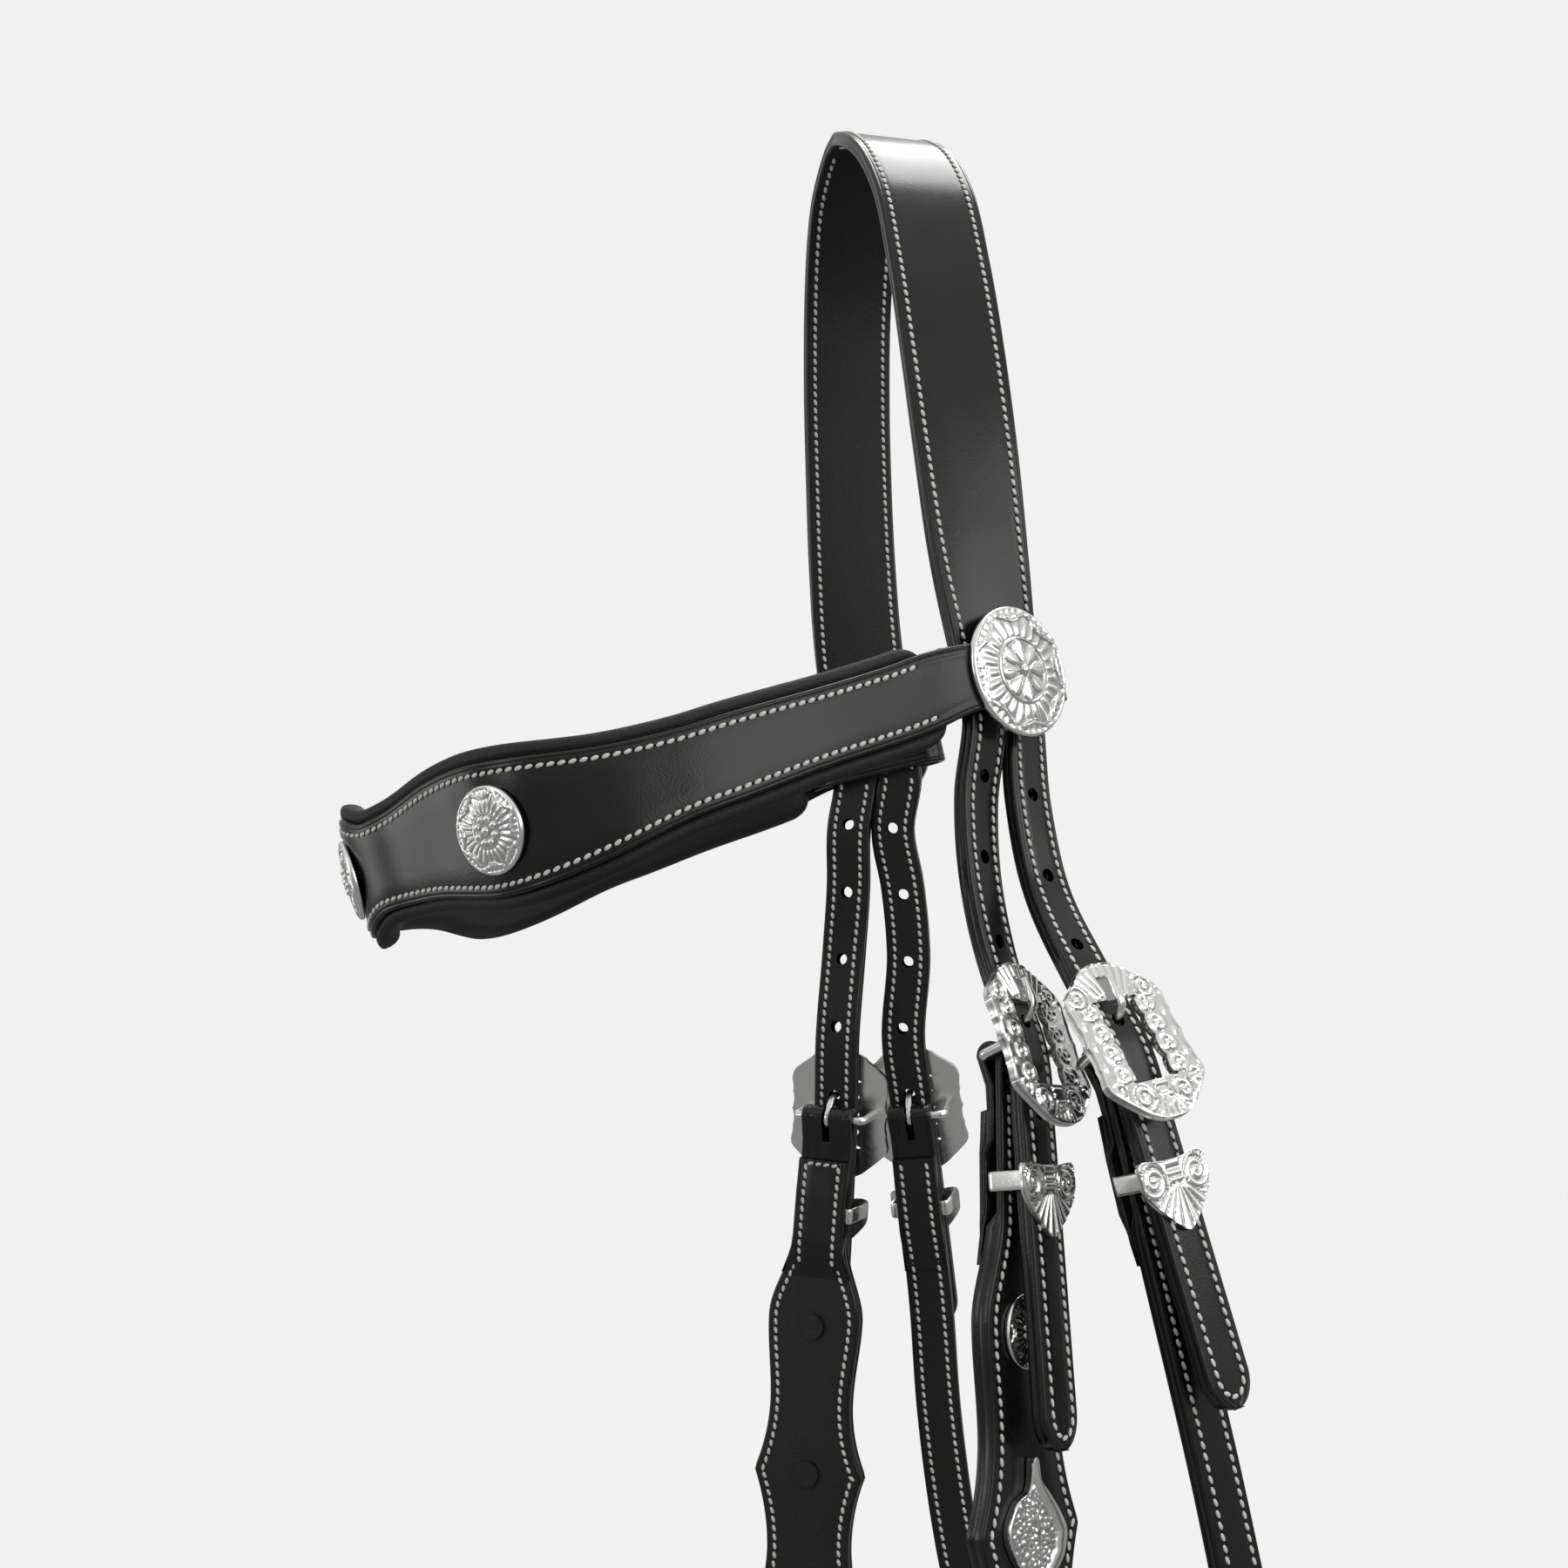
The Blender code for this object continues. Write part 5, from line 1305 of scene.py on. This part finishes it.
BROW_STUD, BROW_STUD_THICK, ROSETTE, ROSETTE_THICK = 0.0125, 0.0035, 0.020, 0.0042
CHEEK_STUD, CHEEK_STUD_THICK = 0.010, 0.0028
UPPER_STUD, LEAF_MIDDLE, LOWER_STUD = 0.3266, 0.5510, 0.7665
side_at = left_half.nearest(brow_plan(*browband_shares[6]))
concho_beads = [(0.27, 0.088, 8), (0.0, 0.105, 1)]
rosette_beads = [(0.0, 0.085, 1)]
concho = (BROW_STUD, BROW_STUD_THICK, concho_height, "browband", concho_beads)
ornament("browband_centre_concho", brow_seat(0.0, LEFT), *concho)
for hand, side in HANDS:
    ornament(f"{hand}_browband_concho", brow_seat(side_at, side), *concho)
for hand, side in HANDS:
    seat = brow_seat(rosette_at, side)
    ornament(f"{hand}_rosette", seat, ROSETTE, ROSETTE_THICK, rosette_height, "browband", rosette_beads)
for hand, side in HANDS:
    for place, share in (("upper", UPPER_STUD), ("lower", LOWER_STUD)):
        seat = seat_on(cheeks[side], share * CHEEK_LENGTH)
        name = f"{hand}_{place}_cheek_concho"
        ornament(name, seat, CHEEK_STUD, CHEEK_STUD_THICK, concho_height, "headstall", concho_beads)

# %% [markdown]
# ## Buckles
# Each buckle is one casting: a flat frame with a relief of scrolls, flutes and a shell, and a bar on
# two legs behind it. The relief is a height for each place on the frame's face, as a wax for
# casting is carved, so closed loops run from the outer edge to the opening in small steps and each
# point is lifted by the height there. The low places are painted darker, as painted shade.

# %% Smooth loops
def eased_loop(points, count):
    """A closed smooth line through points, as evenly numbered places."""
    size, line = len(points), []
    for number in range(count):
        index, t = divmod(number * size / count, 1.0)
        a, b, c, d = (points[(int(index) + k) % size] for k in (-1, 0, 1, 2))
        square, cube = 2 * a - 5 * b + 4 * c - d, 3 * b - a - 3 * c + d
        line.append(0.5 * (2 * b + (c - a) * t + square * t * t + cube * t ** 3))
    return line


def whole_loop(half, width, height):
    """A half outline in shares of a width and a height, mirrored to go round once."""
    shares = half + [(-x, y) for x, y in reversed(half[1:-1])]
    return [Vector((x * width / 2, y * height / 2, 0)) for x, y in shares]


diamond = whole_loop([(0.0, 1.0), (1.0, 0.0), (0.0, -1.0)], 2, 2)
print("a diamond made smooth reaches", round(max(place.x for place in eased_loop(diamond, 40)), 2))


# %% Rods along a bent line
ROD_SIDES = 20


def rod(points, sideways, halves, power=1.0):
    """A closed rod along points, each with its half width sideways and its half thickness."""
    rings = []
    for index, (point, (wide, thick)) in enumerate(zip(points, halves)):
        along = (points[min(index + 1, len(points) - 1)] - points[max(index - 1, 0)]).normalized()
        up = along.cross(sideways)
        ring = []
        for step in range(ROD_SIDES):
            turn = 2 * math.pi * (step + 0.5) / ROD_SIDES
            parts = math.cos(turn), math.sin(turn)
            across, over = (math.copysign(abs(part) ** power, part) for part in parts)
            ring.append(point + sideways * (wide * across) + up * (thick * over))
        rings.append(ring)
    return rolled_grid(rings)


def bent_line(corners, radius, turns=6):
    """A line through corners, each rounded by an arc of about the given radius."""
    line = [corners[0]]
    for before, corner, after in zip(corners, corners[1:], corners[2:]):
        reach = min(radius, (before - corner).length / 2, (after - corner).length / 2)
        start = corner + (before - corner).normalized() * reach
        end = corner + (after - corner).normalized() * reach
        for step in range(turns + 1):
            t = step / turns
            line.append(start.lerp(corner, t).lerp(corner.lerp(end, t), t))
    return line + [corners[-1]]


right_angle = [Vector((0, 0, 0)), Vector((1, 0, 0)), Vector((1, 1, 0))]
print("a rounded corner has", len(bent_line(right_angle, 0.1)), "places")


# %% Cast plates raised by a relief
RELIEF = 0.40


def raised_plate(edge, middle, low, tall, height_of, steps, opening):
    """A plate whose face is raised by a relief of heights from 0 to 1."""
    def loop(share, height=None):
        ring = []
        for outer, inner in zip(edge, middle):
            place = inner.lerp(outer, share)
            level = tall * (0.5 + RELIEF * height_of(place, share)) if height is None else height
            ring.append(Vector((place.x, place.y, low + level)))
        return ring

    stop = 0.015 if opening else 0.04
    face = [loop(0.985 - (0.985 - stop) * step / steps) for step in range(steps + 1)]
    rings = [loop(1.0, 0.0), loop(1.0, 0.30 * tall), loop(0.997, 0.5 * tall)] + face
    if opening:
        rings += [loop(0.003, 0.5 * tall), loop(0.0, 0.30 * tall)]
        rings += [loop(share, 0.0) for share in (0.0, 0.5, 1.0)]
    else:
        rings = [loop(stop, 0.0), loop(0.5, 0.0)] + rings
    shape = rolled_grid(rings, shut=not opening)
    bmesh.ops.remove_doubles(shape, verts=shape.verts, dist=0.000001)
    bmesh.ops.recalc_face_normals(shape, faces=shape.faces)
    # Painted shade: the lower the relief, the darker the silver is painted; the sides and back take little.
    recess_shade = shape.verts.layers.float.new("recess_shade")
    for vert in shape.verts:
        level = ((vert.co.z - low) / tall - 0.5) / RELIEF
        vert[recess_shade] = 0.10 if level < -0.01 else painted_shade_of(level)
    return shape


def seated(node, shape, seat, body, sharp=40):
    """Put a casting on its seat, in the place of a plain node."""
    bmesh.ops.transform(shape, matrix=seat.matrix(), verts=shape.verts)
    bmesh.ops.recalc_face_normals(shape, faces=shape.faces)
    finished(node + "_cast", shape, body, (cast_silver,), [node], sharp=sharp)


print("the relief's share of a plate's thickness", RELIEF)


# %% Heights for the carved relief
def bead(distance, reach):
    """The height of a round ridge at a distance from its line."""
    t = min(1.0, abs(distance) / reach)
    return math.sqrt(1 - t * t)


def scroll(place, x, y, size, pitch=0.0016, start=0.0):
    """A coil that winds out from an eye, mirrored on the left half."""
    across, up = abs(place.x) - x, place.y - y
    rho = math.hypot(across, up)
    if rho > size:
        return 0.0
    phase = (rho / pitch - (math.degrees(math.atan2(up, across)) + start) / 360) % 1.0
    return max(0.9 * bead(rho, 0.0007), 0.9 * bead(phase - 0.5, 0.46)) * min(1.0, (size - rho) / 0.0005)


def flutes(place, x, y, start, end, count, near, far):
    """A fan of rounded flutes between two angles in degrees."""
    rho = math.hypot(place.x - x, place.y - y)
    angle = math.degrees(math.atan2(place.y - y, place.x - x)) % 360
    if not (near < rho < far and start < angle < end):
        return 0.0
    phase = (angle - start) / (end - start) * count % 1.0
    ends = min(1.0, (rho - near) / 0.0008, (far - rho) / 0.0006)
    return 0.95 * bead(phase - 0.5, 0.5) * ends


print("a scroll's eye stands", scroll(Vector((0, 0, 0)), 0, 0, 0.003))

# %% The buckles' frames and bars
FRAME_WIDTH, FRAME_THICK, OPENING_WIDTH, LEG_INSET = 0.0375, 0.003, BILLET_WIDTH + 0.0015, 0.004
RAIL_BEADS = (-0.0096, -0.0032, 0.0032, 0.0096)
RAIL_BEAD = 0.0034
RAIL_MIDDLE, LOOP_PLACES, BUCKLE_STEPS, PLATE_STEPS = 0.0112, 288, 22, 26
frame_half = [
    (0.0, 1.0), (0.22, 0.99), (0.45, 0.91), (0.62, 0.80), (0.80, 0.70), (0.94, 0.60), (0.99, 0.46),
    (0.95, 0.25), (0.96, 0.0), (0.95, -0.25), (1.0, -0.44), (0.99, -0.56), (0.84, -0.68), (0.66, -0.80),
    (0.48, -0.91), (0.26, -0.98), (0.0, -1.0),
]
hole_corner = [(x, 1.0) for x in (0.0, 0.25, 0.50, 0.75, 0.95)] + [(1.0, y) for y in (0.90, 0.62, 0.31)]
hole_half = hole_corner + [(1.0, 0.0)] + [(x, -y) for x, y in hole_corner[::-1]]
scroll_places = ((0.0132, 0.0146, 0.0046, 0), (0.0078, -0.0172, 0.0044, 180), (0.0150, -0.0140, 0.0030, 90))


def scalloped(line, inward):
    """Move the side rails' edges in or out so that each bead shows in the outline."""
    moved = []
    for place in line:
        swell = max(bead(place.y - level, RAIL_BEAD) for level in RAIL_BEADS)
        side_rail = abs(place.x) > 0.0078 and abs(place.y) < 0.0118
        reach = (0.0017 * swell if inward else 0.0009 * (swell - 1.0)) * side_rail
        moved.append(place + Vector((math.copysign(reach, -place.x if inward else place.x), 0, 0)))
    return moved


def bars_height(y, middles):
    """Level bars across a narrow column."""
    return max(0.95 * bead(y - middle, 0.0008) for middle in middles)


def frame_height(place, share):
    """The relief of a buckle frame: beads, scroll shoulders, a fan above, eyes and a shell below."""
    x, y = abs(place.x), place.y
    rim = bead(share - 0.96, 0.05)
    level = max(0.45, 0.85 * rim)
    for middle in RAIL_BEADS:
        rho = math.hypot((x - RAIL_MIDDLE) / 1.15, y - middle)
        if rho < 0.0032:
            arc = bead(rho - 0.0021, 0.0008) if y - middle > -0.0022 or x > RAIL_MIDDLE else 0.0
            level = max(0.35, 0.85 * bead(rho, 0.0011), 0.85 * arc, 0.9 * bead(share - 0.02, 0.06))
        level = max(level, 0.80 * bead(math.hypot((x - 0.0158) / 0.8, y - middle - 0.0032), 0.0016))
    for across, up, size, start in scroll_places:
        if math.hypot(x - across, y - up) < size - 0.0003:
            level = max(0.2, 0.85 * rim, scroll(place, across, up, size, 0.0021, start))
    fan = flutes(place, 0.0, 0.0040, 55, 125, 8, 0.0100, 0.0200)
    level = level if fan == 0.0 else max(0.25, 0.8 * fan)
    if x < 0.0023 and 0 < y < 0.0195:
        level = 0.0
    if x < 0.0024 and -0.0182 < y < -0.0130:
        level = max(0.30, bars_height(y, (-0.0142, -0.0160, -0.0178)))
    if y < -0.0182 and x < 0.0055:
        shell = flutes(place, 0.0, -0.0150, 215, 325, 7, 0.0030, 0.0092)
        level = max(0.2, 0.9 * shell, 0.8 * rim)
    return level


edge = scalloped(eased_loop(whole_loop(frame_half, FRAME_WIDTH, FRAME_HEIGHT), LOOP_PLACES), False)
hole = scalloped(eased_loop(whole_loop(hole_half, OPENING_WIDTH, OPENING_HEIGHT), LOOP_PLACES), True)
legs = OPENING_WIDTH / 2 + LEG_INSET
foot = BAR_SETBACK + 0.0012
corners = [Vector((x, 0, z)) for x, z in ((-legs, foot), (-legs, 0), (legs, 0), (legs, foot))]
route = bent_line(corners, 0.0022)
for name, where, side in FITTINGS:
    frame_shape = raised_plate(edge, hole, BAR_SETBACK, FRAME_THICK, frame_height, BUCKLE_STEPS, True)
    bar = rod(route, Vector((0, 1, 0)), [(BAR_RADIUS, BAR_RADIUS)] * len(route))
    seated(name + "_buckle", beside(frame_shape, bar), buckle_seat(where, side), "headstall")

# %% [markdown]
# ## Tongues
# A buckle's tongue is a cast pin curled round the bar, slim where it goes through the billet's hole
# and broad and flat where its end lies on the frame's top rail.

# %% The buckles' tongues
TONGUE_RADIUS, TONGUE_REACH, TONGUE_WIDE, TONGUE_FLARE = 0.0011, 0.0062, 0.00115, 0.00030
ring = BAR_RADIUS + FIT_GAP + TONGUE_RADIUS
rest = BAR_SETBACK + FRAME_THICK + FIT_GAP + TONGUE_RADIUS
rail = OPENING_HEIGHT / 2
curl = [on_circle(degrees) for degrees in (0, -45, -90, -135, -180, -225, -250)]
places = [(ring * up, ring * out) for out, up in curl]
places += [
    (TONGUE_RISE * 0.80, ring * 0.62), (TONGUE_RISE, LOOP_OUTER + FIT_GAP),
    (TONGUE_RISE + FIT_GAP, BAR_SETBACK), ((TONGUE_RISE + rail) / 2, rest - FIT_GAP),
    (rail + TONGUE_RADIUS, rest), (rail + TONGUE_REACH, rest),
]
tongue_places = bent_line([Vector((0, up, out)) for up, out in places], 0.0016, 3)
tongue_halves = []
for index in range(len(tongue_places)):
    share = index / (len(tongue_places) - 1)
    wide = TONGUE_WIDE if share < 0.62 else TONGUE_WIDE + TONGUE_FLARE * min(1.0, (share - 0.62) / 0.25)
    thick = TONGUE_RADIUS * (0.98 if share < 0.75 else 0.85)
    blunt = bead(max(0.0, share - 0.93), 0.075)
    tongue_halves.append((wide * max(blunt, 0.25), thick * max(blunt, 0.35)))
for name, where, side in FITTINGS:
    pin = rod(tongue_places, Vector((1, 0, 0)), tongue_halves, power=0.8)
    seated(name + "_tongue", pin, buckle_seat(where, side), name + "_tongue", sharp=60)

# %% [markdown]
# ## Keepers
# The keeper that holds each billet down is a cast plate, two scrolls above and a shell running to a
# point, on a flat band that goes behind the strap's front layer.

# %% The keepers' plates and bands
PLATE_WIDTH, PLATE_HEIGHT, PLATE_THICK, KEEPER_SLACK = 0.026, 0.020, 0.0018, 0.0005
EYE_OUT, EYE_UP, EYE_SIZE = 0.0084, -0.0008, 0.0052
plate_half = [
    (0.0, 0.40), (0.30, 0.41), (0.60, 0.46), (0.86, 0.49), (0.99, 0.36), (1.0, 0.0),
    (0.97, -0.38), (0.78, -0.72), (0.56, -1.02), (0.32, -1.30), (0.12, -1.49), (0.0, -1.54),
]


def keeper_height(place, share):
    """The relief of a keeper: two scrolls, a column of bars between them and a shell below."""
    x, y = abs(place.x), place.y
    level = max(0.55, 0.9 * bead(share - 0.96, 0.05))
    if math.hypot(x - EYE_OUT, y - EYE_UP) < EYE_SIZE:
        level = max(0.2, scroll(place, EYE_OUT, EYE_UP, EYE_SIZE, 0.0023, 150))
    if x < 0.0026 and y > -0.0034:
        level = max(0.25, 0.85 * bead(y - 0.0030, 0.0011), bars_height(y, (0.0002, -0.0016)))
    if y < -0.0034 - 0.35 * x:
        shell = flutes(place, 0.0, -0.0010, 200, 340, 9, 0.0024, 0.0150)
        level = max(0.15, 0.7 * bead(share - 0.97, 0.04), shell)
    return level


plate_edge = eased_loop(whole_loop(plate_half, PLATE_WIDTH, PLATE_HEIGHT), 264)
plate_middle = [Vector((0, -0.0035, 0)) for _ in plate_edge]
inner = CHEEK_LOOP / 2 + KEEPER_SLACK + BAND_THICK / 2
band_back = LOOP_INNER - KEEPER_DROP * math.sin(BILLET_LEAN) - KEEPER_SWAY - FIT_GAP - BAND_THICK / 2
band_top = BAR_SETBACK + PLATE_THICK * 0.4
corners = ((-inner, band_top), (-inner, band_back), (inner, band_back), (inner, band_top))
band_route = bent_line([Vector((x, 0, z)) for x, z in corners], 0.0020)
band_halves = [(BAND_HEIGHT / 2, BAND_THICK / 2)] * len(band_route)
for name, where, side in FITTINGS:
    plate = raised_plate(
        plate_edge, plate_middle, BAR_SETBACK, PLATE_THICK, keeper_height, PLATE_STEPS, False)
    band = rod(band_route, Vector((0, 1, 0)), band_halves, power=0.45)
    seated(name + "_keeper", beside(plate, band), keeper_seat(where, side), name + "_keeper")

# %% [markdown]
# ## Leaves
# The middle ornament of each cheekpiece is a cast bud with a pebbled body and a smooth stem that
# sweeps along one edge from top to bottom, thick at its sides.

# %% The cheek leaves
LEAF_WIDTH, LEAF_HEIGHT = 0.024, 0.036


def leaf_line(shares):
    return [Vector((x * LEAF_WIDTH / 2, y * LEAF_HEIGHT / 2, 0)) for x, y in shares]


leaf_right = [
    (0.05, 1.0), (0.12, 0.72), (0.42, 0.50), (0.86, 0.14),
    (1.0, -0.12), (0.78, -0.44), (0.36, -0.68), (0.22, -1.0),
]
leaf_left = [
    (0.04, -1.0), (-0.12, -0.66), (-0.62, -0.46), (-0.94, -0.14), (-0.98, 0.14), (-0.68, 0.44), (-0.24, 0.60),
    (-0.12, 1.0),
]
sweep = leaf_line([
    (-0.03, 0.98), (0.02, 0.78), (0.20, 0.56), (0.56, 0.26), (0.80, -0.02), (0.72, -0.32), (0.38, -0.56),
    (0.14, -0.76), (0.12, -0.98),
])


def from_sweep(place):
    """The distance from the sweeping stem's middle line, and how far along it."""
    best, where = 1.0, 0.0
    for index, (a, b) in enumerate(zip(sweep, sweep[1:])):
        run = b - a
        t = min(1.0, max(0.0, (place - a).dot(run) / run.dot(run)))
        gap = (place - a - run * t).length
        if gap < best:
            best, where = gap, (index + t) / (len(sweep) - 1)
    return best, where


def leaf_height(place, share):
    """The relief of a leaf: a domed pebbled body, a thin rim and the smooth stem."""
    gap, where = from_sweep(place)
    stem = bead(gap, 0.0019 + 0.0007 * math.sin(math.pi * where))
    near = noise.voronoi(place * 620)[0]
    pebble = min(1.0, 1.6 * (near[1] - near[0]))
    body = 0.12 + 0.30 * (1 - share * share) + 0.42 * pebble
    return max(stem, 0.75 * bead(share - 0.96, 0.04), body)


leaf_edge = eased_loop(leaf_line(leaf_right + leaf_left), 272)
leaf_middle = [Vector((0, place.y * 0.45, 0)) for place in leaf_edge]
for hand, side in HANDS:
    leaf = raised_plate(leaf_edge, leaf_middle, FIT_GAP, CHEEK_STUD_THICK, leaf_height, 30, False)
    seat = seat_on(cheeks[side], LEAF_MIDDLE * CHEEK_LENGTH)
    seated(f"{hand}_cheek_leaf", leaf, seat, "headstall", sharp=50)

# %% [markdown]
# ## Screws
# Every ornament is held by a screw from behind. On the straps the heads are covered with the
# lining's leather, so that nothing rubs the horse and they hardly show. The bit screws and their
# caps are plain metal.

# %% The screws' finishes
screws = sorted(name for name in nodes if "screw" in name)
for name in screws:
    for slot in bpy.data.objects[name].material_slots:
        slot.material = plain_silver if "bit_screw" in name else lining_leather
print("screws", len(screws))

# %% Compare the sizes and finish
new_low, new_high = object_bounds()
for label, low, high in (("plain model", cad_low, cad_high), ("dressed model", new_low, new_high)):
    print(label, [round(value * 1000, 1) for value in low], [round(value * 1000, 1) for value in high])
